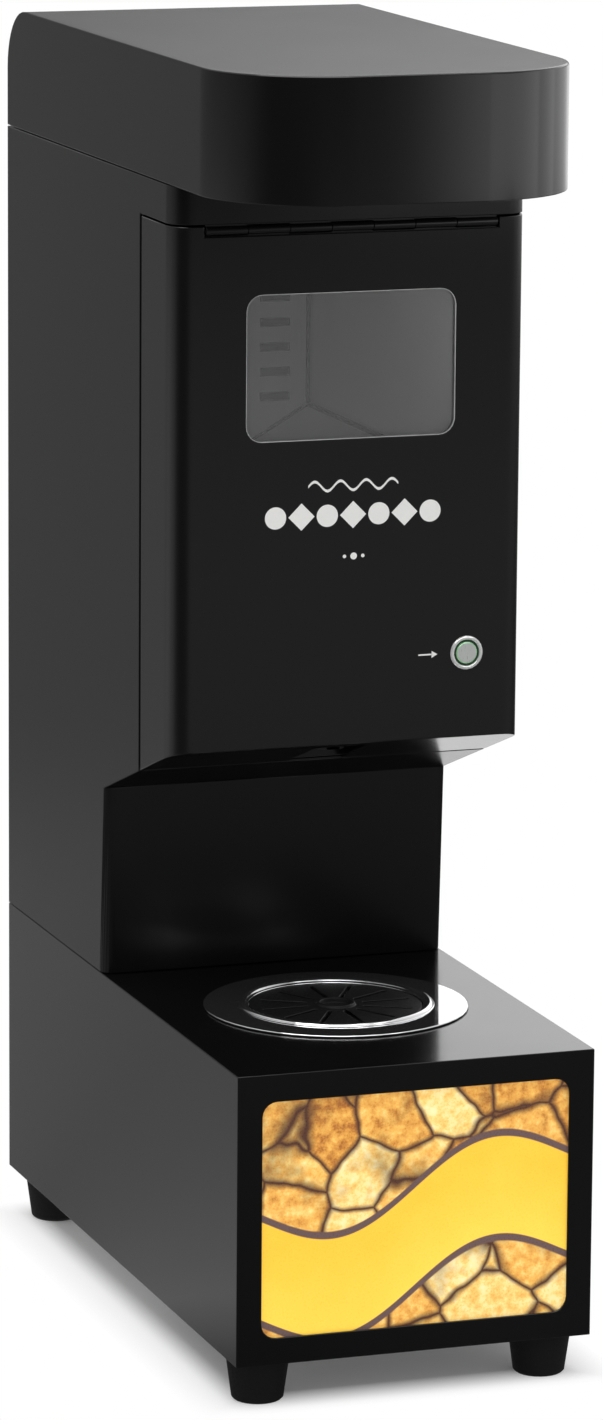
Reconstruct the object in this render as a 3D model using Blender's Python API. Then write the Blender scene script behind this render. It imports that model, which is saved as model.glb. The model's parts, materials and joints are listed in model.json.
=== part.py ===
"""Nacho cheese dispenser: a slim counter-top warmer with a tube pump.

Metres, +Z up. The origin is the centre of the footprint on the counter and the front faces -Y.
"""
import math

import bmesh
import bpy
from mathutils import Matrix, Vector

# Whole machine
BODY_WIDTH = 0.200
BODY_DEPTH = 0.420
FOOT_HEIGHT = 0.025
BASE_HEIGHT = 0.158
BODY_HEIGHT = 0.4524
COVER_HEIGHT = 0.0667
SEAM = 0.0006
SHEET = 0.0015
TOUCH = 0.0003
OVERRUN = 0.005

# Side outline of the body
COLUMN_SETBACK = 0.235
HOUSING_SETBACK = 0.114
SERVING_SHARE = 0.2343
UNDERSIDE_SLOPE = math.radians(19.57)
COLUMN_CORNER_RADIUS = 0.0065
HOUSING_CORNER_RADIUS = 0.013
CORNER_STEPS = 6
FLANGE_WIDTH = 0.008

# Door
DOOR_DEPTH = 0.057
DOOR_GAP = 0.001
STRIP_HEIGHT = 0.0205

# Top cover
COVER_SETBACK = 0.0073
COVER_CORNER_RADIUS = 0.064
COVER_CORNER_STEPS = 16
COVER_BACK_RADIUS = 0.034
COVER_BACK_STEPS = 10
COVER_EDGE_RADIUS = 0.0015
COVER_EDGE_STEPS = 2

# Levels and faces that the pieces share
HALF = BODY_WIDTH / 2
FRONT = -BODY_DEPTH / 2
BACK = BODY_DEPTH / 2
BASE_TOP = FOOT_HEIGHT + BASE_HEIGHT
BODY_BOTTOM = BASE_TOP + TOUCH
BODY_TOP = BODY_BOTTOM + BODY_HEIGHT
COVER_BOTTOM = BODY_TOP + SEAM
COVER_TOP = COVER_BOTTOM + COVER_HEIGHT
COLUMN_FRONT = FRONT + COLUMN_SETBACK
HOUSING_FRONT = FRONT + HOUSING_SETBACK
UNDERSIDE_BACK = BASE_TOP + BODY_HEIGHT * SERVING_SHARE
DOOR_BACK = HOUSING_FRONT + DOOR_DEPTH
STRIP_BOTTOM = BODY_TOP - STRIP_HEIGHT
DOOR_TOP = STRIP_BOTTOM - DOOR_GAP
FRAME_FRONT = DOOR_BACK + DOOR_GAP
FRAME_SHEET = 0.0012
FRAME_BACK = FRAME_FRONT + FRAME_SHEET


def level(share):
    """Height of a place on the body, given as its share of the body's height above the base."""
    return BASE_TOP + BODY_HEIGHT * share


def clear_scene():
    for old in list(bpy.data.objects):
        bpy.data.objects.remove(old, do_unlink=True)


def finish(name, colour, roughness, metallic, alpha=1.0):
    """A plain finish: colour, roughness and metallic value."""
    material = bpy.data.materials.new(name)
    material.use_nodes = True
    shader = material.node_tree.nodes["Principled BSDF"]
    shader.inputs["Base Color"].default_value = (*colour, 1.0)
    shader.inputs["Roughness"].default_value = roughness
    shader.inputs["Metallic"].default_value = metallic
    shader.inputs["Alpha"].default_value = alpha
    return material


clear_scene()
BLACK_PAINT = finish("black_paint", (0.012, 0.012, 0.013), 0.4, 0.0)
STAINLESS = finish("stainless", (0.55, 0.55, 0.56), 0.3, 1.0)
POLISHED = finish("polished_steel", (0.72, 0.72, 0.73), 0.08, 1.0)
ZINC = finish("zinc_plated", (0.5, 0.51, 0.52), 0.35, 1.0)
ALUMINIUM = finish("aluminium", (0.7, 0.7, 0.72), 0.35, 1.0)
BLACK_PLASTIC = finish("black_plastic", (0.02, 0.02, 0.02), 0.5, 0.0)
GREY_PLASTIC = finish("grey_plastic", (0.35, 0.36, 0.37), 0.5, 0.0)
WHITE_PLASTIC = finish("white_plastic", (0.8, 0.8, 0.78), 0.45, 0.0)
RUBBER = finish("rubber", (0.015, 0.015, 0.015), 0.8, 0.0)
SILICONE = finish("silicone", (0.25, 0.25, 0.26), 0.6, 0.0)
SMOKED = finish("smoked_acrylic", (0.15, 0.15, 0.16), 0.05, 0.0, alpha=0.4)
SIGN = finish("sign_print", (0.85, 0.45, 0.06), 0.25, 0.0)
BOARD = finish("circuit_board", (0.02, 0.18, 0.07), 0.5, 0.0)
GREEN_LENS = finish("green_lens", (0.1, 0.55, 0.2), 0.3, 0.0)


def to_object(name, bm, material):
    """Turn a finished bmesh into a named object in the scene."""
    bmesh.ops.recalc_face_normals(bm, faces=bm.faces)
    mesh = bpy.data.meshes.new(name)
    bm.to_mesh(mesh)
    bm.free()
    piece = bpy.data.objects.new(name, mesh)
    piece.data.materials.append(material)
    bpy.context.scene.collection.objects.link(piece)
    return piece


def round_shading(piece):
    piece.data.shade_smooth()
    piece.data.set_sharp_from_angle(angle=math.radians(35))
    return piece


def arc(centre_u, centre_v, radius, start, end, steps):
    """Points on a round stretch of an outline, from one angle in degrees to another."""
    points = []
    for step in range(steps + 1):
        angle = math.radians(start + (end - start) * step / steps)
        points.append((centre_u + radius * math.cos(angle), centre_v + radius * math.sin(angle)))
    return points


def rounded_outline(low_u, low_v, high_u, high_v, radius, steps):
    """A rectangle with round corners, as an outline."""
    return (arc(high_u - radius, high_v - radius, radius, 0, 90, steps)
            + arc(low_u + radius, high_v - radius, radius, 90, 180, steps)
            + arc(low_u + radius, low_v + radius, radius, 180, 270, steps)
            + arc(high_u - radius, low_v + radius, radius, 270, 360, steps))


def place(u, v, along, axis):
    """A point of an outline, with its place along the axis that the outline is drawn out on."""
    if axis == "X":
        return (along, u, v)
    if axis == "Y":
        return (u, along, v)
    return (u, v, along)


def add_prism(bm, outline, axis, start, end):
    """An outline drawn out along an axis: (y, z) on X, (x, z) on Y and (x, y) on Z."""
    verts = [bm.verts.new(place(u, v, start, axis)) for u, v in outline]
    face = bm.faces.new(verts)
    drawn = bmesh.ops.extrude_face_region(bm, geom=[face])
    moved = [item for item in drawn["geom"] if isinstance(item, bmesh.types.BMVert)]
    bmesh.ops.translate(bm, verts=moved, vec=Vector(place(0, 0, end - start, axis)))
    return verts + moved


def add_box(bm, low, high):
    """A box between two corners."""
    outline = [(low[0], low[1]), (high[0], low[1]), (high[0], high[1]), (low[0], high[1])]
    return add_prism(bm, outline, "Z", low[2], high[2])


def add_rod(bm, centre, axis, radius, start, end, steps):
    """A round rod along an axis; centre is its place on the other two."""
    outline = arc(centre[0], centre[1], radius, 0, 360, steps)[:-1]
    return add_prism(bm, outline, axis, start, end)


def prism(name, outline, axis, start, end, material):
    bm = bmesh.new()
    add_prism(bm, outline, axis, start, end)
    return to_object(name, bm, material)


def box(name, low, high, material):
    bm = bmesh.new()
    add_box(bm, low, high)
    return to_object(name, bm, material)


def add_turned(bm, profile, steps, centre, axis="Z"):
    """A profile of (radius, height) points turned about an axis through centre."""
    verts = [bm.verts.new((radius, 0, height)) for radius, height in profile]
    edges = [bm.edges.new(pair) for pair in zip(verts, verts[1:])]
    if profile[0][0] > 0:
        edges.append(bm.edges.new((verts[-1], verts[0])))
    bmesh.ops.spin(bm, geom=verts + edges, cent=(0, 0, 0), axis=(0, 0, 1),
                   angle=math.tau, steps=steps, use_merge=True)
    bmesh.ops.remove_doubles(bm, verts=bm.verts, dist=TOUCH / 100)
    turn = Matrix.Identity(4)
    if axis == "Y":
        turn = Matrix.Rotation(-math.pi / 2, 4, "X")
    bmesh.ops.transform(bm, verts=bm.verts, matrix=Matrix.Translation(centre) @ turn)


def turned(name, profile, steps, centre, material, axis="Z"):
    """A round piece. On axis Y the heights run towards the back."""
    bm = bmesh.new()
    add_turned(bm, profile, steps, centre, axis)
    return round_shading(to_object(name, bm, material))


def tool(name, bm):
    """A cutter or an added shape that isn't a piece of its own."""
    shape = to_object(name, bm, BLACK_PAINT)
    shape.hide_render = True
    shape.display_type = "WIRE"
    return shape


def combine(piece, shape, operation, crossing=False):
    step = piece.modifiers.new(shape.name, "BOOLEAN")
    step.operation = operation
    step.solver = "EXACT"
    step.use_self = crossing
    step.object = shape
    return piece


def cut(piece, bm, crossing=False):
    return combine(piece, tool(piece.name + "_cut", bm), "DIFFERENCE", crossing)


def join(piece, bm, crossing=False):
    return combine(piece, tool(piece.name + "_add", bm), "UNION", crossing)


def keep(piece, bm):
    return combine(piece, tool(piece.name + "_keep", bm), "INTERSECT")


def pivot(name, location):
    """An empty on a joint's axis, which carries the pieces that move with it."""
    empty = bpy.data.objects.new(name, None)
    empty.location = location
    bpy.context.scene.collection.objects.link(empty)
    return empty


def carry(empty, *pieces):
    for piece in pieces:
        piece.parent = empty
        piece.matrix_parent_inverse = Matrix.Translation(empty.location).inverted()


def round_edges(bm, chosen, radius, steps):
    bmesh.ops.bevel(bm, geom=chosen, offset=radius, offset_type="OFFSET", segments=steps,
                    profile=0.5, affect="EDGES", material=-1)


def near(value, target):
    return abs(value - target) < TOUCH / 3


# Painted body shell

def underside(y, inset=0.0):
    """Height of the slanted underside at y, or of the surface that lies inset above it."""
    rise = (COLUMN_FRONT - y) * math.tan(UNDERSIDE_SLOPE)
    return UNDERSIDE_BACK + rise + inset / math.cos(UNDERSIDE_SLOPE)


def housing_block(inset):
    """The whole outer form of column and housing, or the form that lies inset within it."""
    half = HALF - inset
    column = COLUMN_FRONT + inset
    housing = HOUSING_FRONT + inset
    outline = [
        (BACK - inset, BODY_BOTTOM + inset),
        (column, BODY_BOTTOM + inset),
        (column, underside(column, inset)),
        (housing, underside(housing, inset)),
        (housing, BODY_TOP - inset),
        (BACK - inset, BODY_TOP - inset),
    ]
    bm = bmesh.new()
    add_prism(bm, outline, "X", -half, half)

    def upright(face_y):
        return [edge for edge in bm.edges
                if all(near(vert.co.y, face_y) for vert in edge.verts)
                and near(edge.verts[0].co.x, edge.verts[1].co.x)]

    round_edges(bm, upright(housing), HOUSING_CORNER_RADIUS - inset, CORNER_STEPS)
    round_edges(bm, upright(column), COLUMN_CORNER_RADIUS - inset, CORNER_STEPS)
    return bm


def make_body_shell():
    shell = to_object("body_shell", housing_block(0.0), BLACK_PAINT)
    cut(shell, housing_block(SHEET))
    openings = bmesh.new()
    inner = HALF - FLANGE_WIDTH
    add_box(openings, (-inner, HOUSING_FRONT + FLANGE_WIDTH, BODY_TOP - SHEET - OVERRUN),
            (inner, BACK - FLANGE_WIDTH, BODY_TOP + OVERRUN))
    add_box(openings, (-inner, COLUMN_FRONT + FLANGE_WIDTH, BODY_BOTTOM - OVERRUN),
            (inner, BACK - FLANGE_WIDTH, BODY_BOTTOM + SHEET + OVERRUN))
    cut(shell, openings)
    back_opening = bmesh.new()
    add_box(back_opening, (-inner, BACK - SHEET - OVERRUN, BODY_BOTTOM + FLANGE_WIDTH),
            (inner, BACK + OVERRUN, BODY_TOP - FLANGE_WIDTH))
    cut(shell, back_opening)
    door_zone = bmesh.new()
    add_box(door_zone, (-HALF - OVERRUN, HOUSING_FRONT - OVERRUN, BASE_TOP),
            (HALF + OVERRUN, FRAME_FRONT, STRIP_BOTTOM))
    cut(shell, door_zone)
    return shell


make_body_shell()

# Chamber

CHAMBER_WIDTH_SHARE = 0.65
CHAMBER_ROOM = 0.1717
CHAMBER_BOTTOM_SHARE = 0.56145
CHAMBER_TOP_ROOM = 0.0477
LINER_SHEET = 0.001
LINER_SET_IN = 0.0077
LINER_FLANGE = 0.008
MOUTH_CORNER_RADIUS = 0.002
SLOT_WIDTH_SHARE = 0.13846
SLOT_HEIGHT = 0.005
SLOT_CENTRE_SHARE = 0.34077
SLOT_RISE = 0.003
SLOT_TOP_MARGIN = 0.0039
SLOT_ROWS = 8
FUNNEL_RISE = 0.039
FAN_CENTRE_SHARE = 0.77144
FAN_SIZE = 0.070
FAN_DEPTH = 0.020
FAN_BORE_RADIUS = 0.033
FAN_GUARD_RADIUS = 0.026

CHAMBER_WIDTH = BODY_WIDTH * CHAMBER_WIDTH_SHARE
CHAMBER_DEPTH = BODY_DEPTH - CHAMBER_ROOM
CHAMBER_BOTTOM = level(CHAMBER_BOTTOM_SHARE)
CHAMBER_TOP = BODY_TOP - CHAMBER_TOP_ROOM
FUNNEL_EDGE_Z = CHAMBER_BOTTOM + FUNNEL_RISE
SLOT_WIDTH = CHAMBER_WIDTH * SLOT_WIDTH_SHARE
SLOT_CENTRE_X = CHAMBER_WIDTH * SLOT_CENTRE_SHARE
SLOT_FIRST_Z = FUNNEL_EDGE_Z + SLOT_RISE
SLOT_PITCH = (CHAMBER_TOP - SLOT_FIRST_Z - SLOT_HEIGHT - SLOT_TOP_MARGIN) / (SLOT_ROWS - 1)
FAN_CENTRE_Z = level(FAN_CENTRE_SHARE)
LINER_FRONT = HOUSING_FRONT + LINER_SET_IN
LINER_HALF = CHAMBER_WIDTH / 2 + LINER_SHEET
LINER_BACK = LINER_FRONT + CHAMBER_DEPTH + LINER_SHEET
LINER_TOP = CHAMBER_TOP + LINER_SHEET


def make_chamber_liner():
    """Folded chamber: sides, top and back, with a flange round its mouth and an open floor."""
    bm = bmesh.new()
    add_box(bm, (-LINER_HALF, LINER_FRONT, CHAMBER_BOTTOM), (LINER_HALF, LINER_BACK, LINER_TOP))
    liner = to_object("chamber_liner", bm, STAINLESS)
    flange = bmesh.new()
    add_box(flange, (-LINER_HALF - LINER_FLANGE, LINER_FRONT, CHAMBER_BOTTOM - LINER_FLANGE),
            (LINER_HALF + LINER_FLANGE, LINER_FRONT + LINER_SHEET, LINER_TOP + LINER_FLANGE))
    join(liner, flange)
    hollow = bmesh.new()
    add_box(hollow, (-CHAMBER_WIDTH / 2, LINER_FRONT - OVERRUN, CHAMBER_BOTTOM),
            (CHAMBER_WIDTH / 2, LINER_BACK - LINER_SHEET, CHAMBER_TOP))
    cut(liner, hollow)
    floor = bmesh.new()
    add_box(floor, (-CHAMBER_WIDTH / 2, LINER_FRONT + LINER_SHEET, CHAMBER_BOTTOM - OVERRUN),
            (CHAMBER_WIDTH / 2, LINER_BACK - LINER_SHEET, CHAMBER_BOTTOM + OVERRUN))
    cut(liner, floor)
    airways = bmesh.new()
    start = LINER_BACK - LINER_SHEET - OVERRUN
    end = LINER_BACK + OVERRUN
    for side in (-1, 1):
        for row in range(SLOT_ROWS):
            low_z = SLOT_FIRST_Z + row * SLOT_PITCH
            add_box(airways, (side * SLOT_CENTRE_X - SLOT_WIDTH / 2, start, low_z),
                    (side * SLOT_CENTRE_X + SLOT_WIDTH / 2, end, low_z + SLOT_HEIGHT))
    add_rod(airways, (0, FAN_CENTRE_Z), "Y", FAN_GUARD_RADIUS, start, end, 24)
    cut(liner, airways)
    return liner


FUNNEL_SLOPE = math.radians(30)
FUNNEL_SHEET = 0.0012
TUBE_SETBACK = 0.145
FUNNEL_HOLE_RADIUS = 0.013
FUNNEL_SLOT_WIDTH = 0.016
TUBE_Y = FRONT + TUBE_SETBACK


def make_funnel_floor():
    """Sloped floor that runs down to a crease, with a keyhole slot for the bag's tube."""
    half = CHAMBER_WIDTH / 2 - TOUCH
    drop = half * math.tan(FUNNEL_SLOPE)
    thick = FUNNEL_SHEET / math.cos(FUNNEL_SLOPE)
    start = LINER_FRONT + LINER_SHEET + TOUCH
    end = LINER_BACK - LINER_SHEET - TOUCH
    crease = FUNNEL_EDGE_Z - drop
    outline = [(-half, FUNNEL_EDGE_Z), (-half, FUNNEL_EDGE_Z - thick), (0, crease - thick),
               (half, FUNNEL_EDGE_Z - thick), (half, FUNNEL_EDGE_Z), (0, crease)]
    funnel = prism("funnel_floor", outline, "Y", start, end, STAINLESS)
    apron = bmesh.new()
    add_prism(apron, [(-half, FUNNEL_EDGE_Z), (-half, CHAMBER_BOTTOM), (half, CHAMBER_BOTTOM),
                      (half, FUNNEL_EDGE_Z)], "Y", start, start + FUNNEL_SHEET)
    join(funnel, apron)
    keyhole = bmesh.new()
    add_rod(keyhole, (0, TUBE_Y), "Z", FUNNEL_HOLE_RADIUS, CHAMBER_BOTTOM - OVERRUN,
            FUNNEL_EDGE_Z + OVERRUN, 20)
    cut(funnel, keyhole)
    slot = bmesh.new()
    add_box(slot, (-FUNNEL_SLOT_WIDTH / 2, start - OVERRUN, CHAMBER_BOTTOM - OVERRUN),
            (FUNNEL_SLOT_WIDTH / 2, TUBE_Y, FUNNEL_EDGE_Z + OVERRUN))
    cut(funnel, slot)
    return funnel


SEAL_WIDTH = 0.0062


def make_chamber_seal():
    """Soft frame between the chamber's mouth and the inside of the door."""
    gap = TOUCH
    inner = CHAMBER_WIDTH / 2 + gap
    outer = inner + SEAL_WIDTH
    start = HOUSING_FRONT + SHEET + gap
    end = LINER_FRONT - gap
    low = CHAMBER_BOTTOM - gap
    high = CHAMBER_TOP + gap
    seal = prism("chamber_seal", rounded_outline(-outer, low - SEAL_WIDTH, outer, high + SEAL_WIDTH,
                                                 SEAL_WIDTH, 3), "Y", start, end, SILICONE)
    hole = bmesh.new()
    add_prism(hole, rounded_outline(-inner, low, inner, high, MOUTH_CORNER_RADIUS, 2), "Y",
              start - OVERRUN, end + OVERRUN)
    return cut(seal, hole)


make_chamber_liner()
make_funnel_floor()
make_chamber_seal()

# Tube pump: places that the frame and the pump share

PUMP_X = 0.024
PUMP_DROP = 0.037
PUMP_Z = CHAMBER_BOTTOM - PUMP_DROP
SHAFT_RADIUS = 0.004
SHAFT_HOLE_RADIUS = 0.006

# Front frame: bulkhead behind the door and the shelf above it

SHELF_RISE = 0.0018


def make_front_frame():
    inset = SHEET + TOUCH
    bm = housing_block(inset)
    frame = to_object("front_frame", bm, BLACK_PAINT)
    zone = bmesh.new()
    shelf_low = STRIP_BOTTOM + SHELF_RISE
    add_box(zone, (-HALF, FRAME_FRONT, BASE_TOP), (HALF, FRAME_BACK, BODY_TOP))
    keep(frame, zone)
    shelf = housing_block(inset)
    shelf_part = to_object("front_frame_shelf", shelf, BLACK_PAINT)
    shelf_part.hide_render = True
    shelf_part.display_type = "WIRE"
    slab = bmesh.new()
    add_box(slab, (-HALF, HINGE_Y + LEAF_BACK + TOUCH, shelf_low),
            (HALF, FRAME_FRONT + FRAME_SHEET / 2, shelf_low + FRAME_SHEET))
    keep(shelf_part, slab)
    combine(frame, shelf_part, "UNION")
    holes = bmesh.new()
    add_box(holes, (-LINER_HALF - TOUCH, FRAME_FRONT - OVERRUN, CHAMBER_BOTTOM - TOUCH),
            (LINER_HALF + TOUCH, FRAME_BACK + OVERRUN, LINER_TOP + TOUCH))
    add_rod(holes, (PUMP_X, PUMP_Z), "Y", SHAFT_HOLE_RADIUS, FRAME_FRONT - OVERRUN,
            FRAME_BACK + OVERRUN, 16)
    cut(frame, holes)
    return frame


# Piano hinge

HINGE_SET_IN = 0.0015
HINGE_DROP = 0.0025
KNUCKLE_RADIUS = 0.0023
HINGE_PIN_RADIUS = 0.0008
HINGE_END_ROOM = 0.018
HINGE_LENGTH = BODY_WIDTH - 2 * HINGE_END_ROOM
KNUCKLES = 7
KNUCKLE_GAP = 0.0004
LEAF_FRONT = 0.0003
LEAF_SHEET = 0.001
LEAF_BACK = LEAF_FRONT + LEAF_SHEET
FIXED_LEAF_HEIGHT = 0.018
DOOR_LEAF_HEIGHT = 0.0115
LEAF_RELIEF = 0.0004
HINGE_STEPS = 12
HINGE_Y = HOUSING_FRONT + HINGE_SET_IN
HINGE_Z = DOOR_TOP - HINGE_DROP


def hinge_leaf(name, first, way, height):
    """One leaf with every second knuckle; way is 1 for the leaf that rises and -1 for the other."""
    pitch = HINGE_LENGTH / KNUCKLES
    relief = KNUCKLE_RADIUS + LEAF_RELIEF
    near_edge = HINGE_Z + way * relief
    far_edge = HINGE_Z + way * height
    low, high = sorted((near_edge, far_edge))
    leaf = box(name, (-HINGE_LENGTH / 2, HINGE_Y + LEAF_FRONT, low),
               (HINGE_LENGTH / 2, HINGE_Y + LEAF_BACK, high), ZINC)
    knuckles = bmesh.new()
    webs = bmesh.new()
    for index in range(first, KNUCKLES, 2):
        start = -HINGE_LENGTH / 2 + index * pitch + KNUCKLE_GAP / 2
        end = start + pitch - KNUCKLE_GAP
        add_rod(knuckles, (HINGE_Y, HINGE_Z), "X", KNUCKLE_RADIUS, start, end, HINGE_STEPS)
        low, high = sorted((HINGE_Z, HINGE_Z + way * (relief + LEAF_SHEET)))
        add_box(webs, (start, HINGE_Y + LEAF_FRONT, low), (end, HINGE_Y + LEAF_BACK, high))
    join(leaf, webs)
    combine(leaf, tool(name + "_knuckles", knuckles), "UNION")
    bore = bmesh.new()
    add_rod(bore, (HINGE_Y, HINGE_Z), "X", HINGE_PIN_RADIUS + TOUCH, -HINGE_LENGTH / 2 - OVERRUN,
            HINGE_LENGTH / 2 + OVERRUN, HINGE_STEPS)
    combine(leaf, tool(name + "_bore", bore), "DIFFERENCE")
    return leaf


def make_hinge_pin():
    bm = bmesh.new()
    add_rod(bm, (HINGE_Y, HINGE_Z), "X", HINGE_PIN_RADIUS, -HINGE_LENGTH / 2, HINGE_LENGTH / 2, HINGE_STEPS)
    return round_shading(to_object("hinge_pin", bm, ZINC))


make_front_frame()
hinge_leaf("hinge_fixed_leaf", 0, 1, FIXED_LEAF_HEIGHT)
door_leaf = hinge_leaf("hinge_door_leaf", 1, -1, DOOR_LEAF_HEIGHT)
make_hinge_pin()
door_pivot = pivot("door_pivot", (0, HINGE_Y, HINGE_Z))
carry(door_pivot, door_leaf)

# Door

HINGE_RECESS_END = 0.0008
HINGE_RECESS_DROP = 0.0032
WINDOW_WIDTH_SHARE = 0.59
WINDOW_HEIGHT_SHARE = 0.17462
WINDOW_TOP_ROOM = 0.011
WINDOW_RADIUS = 0.009
WINDOW_STEPS = 6
PANE_LAP = 0.005
PANE_LAP_Z = 0.0065
PANE_THICKNESS = 0.003
RETAINER_SHEET = 0.001
BUTTON_FROM_SIDE = 0.033
BUTTON_SHARE = 0.4317
BUTTON_HOLE_RADIUS = 0.0082
BUTTON_STEPS = 24
NOTCH_WIDTH = 0.030
NOTCH_FRONT = 0.0105
NOTCH_RADIUS = 0.004

WINDOW_WIDTH = BODY_WIDTH * WINDOW_WIDTH_SHARE
WINDOW_HEIGHT = BODY_HEIGHT * WINDOW_HEIGHT_SHARE
WINDOW_CENTRE_Z = CHAMBER_TOP - WINDOW_TOP_ROOM - WINDOW_HEIGHT / 2
BUTTON_X = HALF - BUTTON_FROM_SIDE
BUTTON_Z = level(BUTTON_SHARE)


def window_outline(lap_x, lap_z, radius):
    return rounded_outline(-WINDOW_WIDTH / 2 - lap_x, WINDOW_CENTRE_Z - WINDOW_HEIGHT / 2 - lap_z,
                           WINDOW_WIDTH / 2 + lap_x, WINDOW_CENTRE_Z + WINDOW_HEIGHT / 2 + lap_z,
                           radius, WINDOW_STEPS)


def make_door_shell():
    """Front, two side returns and a slanted bottom return, open at the back and the top."""
    shell = to_object("door_shell", housing_block(0.0), BLACK_PAINT)
    cut(shell, housing_block(SHEET))
    zone = bmesh.new()
    add_box(zone, (-HALF - OVERRUN, HOUSING_FRONT - OVERRUN, BASE_TOP),
            (HALF + OVERRUN, DOOR_BACK, DOOR_TOP))
    keep(shell, zone)
    holes = bmesh.new()
    start = HOUSING_FRONT - OVERRUN
    end = HOUSING_FRONT + SHEET + TOUCH
    add_prism(holes, window_outline(0, 0, WINDOW_RADIUS), "Y", start, end)
    add_rod(holes, (BUTTON_X, BUTTON_Z), "Y", BUTTON_HOLE_RADIUS, start, end, BUTTON_STEPS)
    recess = HINGE_LENGTH / 2 + HINGE_RECESS_END
    add_box(holes, (-recess, start, HINGE_Z - HINGE_RECESS_DROP), (recess, end, DOOR_TOP + OVERRUN))
    cut(shell, holes)
    notch = bmesh.new()
    low_y = HOUSING_FRONT + NOTCH_FRONT
    outline = (arc(-NOTCH_WIDTH / 2 + NOTCH_RADIUS, low_y + NOTCH_RADIUS, NOTCH_RADIUS, 180, 270, 4)
               + arc(NOTCH_WIDTH / 2 - NOTCH_RADIUS, low_y + NOTCH_RADIUS, NOTCH_RADIUS, 270, 360, 4)
               + [(NOTCH_WIDTH / 2, DOOR_BACK + OVERRUN), (-NOTCH_WIDTH / 2, DOOR_BACK + OVERRUN)])
    add_prism(notch, outline, "Z", BASE_TOP, underside(HOUSING_FRONT, SHEET) + OVERRUN)
    combine(shell, tool("door_notch", notch), "DIFFERENCE")
    return shell


def make_door_window():
    start = HOUSING_FRONT + SHEET + TOUCH
    return prism("door_window", window_outline(PANE_LAP, PANE_LAP_Z, WINDOW_RADIUS), "Y",
                 start, start + PANE_THICKNESS, SMOKED)


def make_window_retainer():
    start = HOUSING_FRONT + SHEET + PANE_THICKNESS + 2 * TOUCH
    frame = prism("window_retainer", window_outline(PANE_LAP, PANE_LAP_Z, WINDOW_RADIUS), "Y",
                  start, start + RETAINER_SHEET, STAINLESS)
    hole = bmesh.new()
    add_prism(hole, window_outline(0, 0, WINDOW_RADIUS), "Y", start - OVERRUN,
              start + RETAINER_SHEET + OVERRUN)
    return cut(frame, hole)


# Magnets on the frame and their strikes on the door

MAGNET_WIDTH = 0.014
MAGNET_HEIGHT = 0.016
MAGNET_DEPTH = 0.0126
MAGNET_FROM_SIDE = 0.011
MAGNET_RISE = 0.0286
STRIKE_HEIGHT = 0.020
STRIKE_REACH = 0.018
STRIKE_LENGTH = 0.019
STRIKE_SHEET = 0.0013

MAGNET_X = HALF - MAGNET_FROM_SIDE
MAGNET_Z = underside(FRAME_FRONT) + MAGNET_RISE


def make_catch(name_end, side):
    magnet_front = FRAME_FRONT - TOUCH - MAGNET_DEPTH
    low_x, high_x = sorted((side * (MAGNET_X - MAGNET_WIDTH / 2), side * (MAGNET_X + MAGNET_WIDTH / 2)))
    magnet = box("door_magnet_" + name_end, (low_x, magnet_front, MAGNET_Z - MAGNET_HEIGHT / 2),
                 (high_x, FRAME_FRONT - TOUCH, MAGNET_Z + MAGNET_HEIGHT / 2), BLACK_PLASTIC)
    wall = HALF - SHEET - TOUCH
    back = magnet_front - TOUCH
    low_z = MAGNET_Z - STRIKE_HEIGHT / 2
    high_z = MAGNET_Z + STRIKE_HEIGHT / 2
    outline = [(side * wall, back), (side * (wall - STRIKE_REACH), back),
               (side * (wall - STRIKE_REACH), back - STRIKE_SHEET),
               (side * (wall - STRIKE_SHEET), back - STRIKE_SHEET),
               (side * (wall - STRIKE_SHEET), back - STRIKE_LENGTH),
               (side * wall, back - STRIKE_LENGTH)]
    strike = prism("strike_" + name_end, outline, "Z", low_z, high_z, ZINC)
    return magnet, strike


door_shell = make_door_shell()
door_window = make_door_window()
window_retainer = make_window_retainer()
carry(door_pivot, door_shell, door_window, window_retainer)
for side_name, side_sign in (("left", -1), ("right", 1)):
    carry(door_pivot, make_catch(side_name, side_sign)[1])

# Push button

BEZEL_RADIUS = 0.0093
BEZEL_THICKNESS = 0.0013
BEZEL_CHAMFER = 0.0005
BARREL_RADIUS = 0.0079
BARREL_LENGTH = 0.0143
BEZEL_BORE_RADIUS = 0.00715
RING_RADIUS = 0.00685
RING_BORE_RADIUS = 0.00635
RING_LENGTH = 0.007
RING_SET_IN = 0.0007
CAP_RADIUS = 0.00605
CAP_SET_IN = 0.0002
CAP_LENGTH = 0.0093
CAP_CHAMFER = 0.0006
CAP_TRAVEL = 0.0015
STEM_RADIUS = 0.0018
STEM_BORE_RADIUS = 0.0022
STEM_BORE_DEPTH = 0.004
BUTTON_SPRING_RADIUS = 0.0037
BUTTON_SPRING_WIRE = 0.0004
BUTTON_SPRING_TURNS = 3
CONTACT_RADIUS = 0.0074
CONTACT_LENGTH = 0.0135
TERMINAL_LENGTH = 0.005
TERMINAL_WIDTH = 0.0028
TERMINAL_SHEET = 0.0008
TERMINAL_SPREAD = 0.004
NUT_RADIUS = 0.0108
NUT_THICKNESS = 0.003

BEZEL_FRONT = HOUSING_FRONT - TOUCH - BEZEL_THICKNESS
BARREL_END = BEZEL_FRONT + BEZEL_THICKNESS + BARREL_LENGTH
CONTACT_FRONT = BARREL_END + TOUCH


def helix_points(radius, length, turns, per_turn):
    points = []
    count = turns * per_turn
    for step in range(count + 1):
        angle = math.tau * step / per_turn
        points.append((radius * math.cos(angle), radius * math.sin(angle), length * step / count))
    return points


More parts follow.
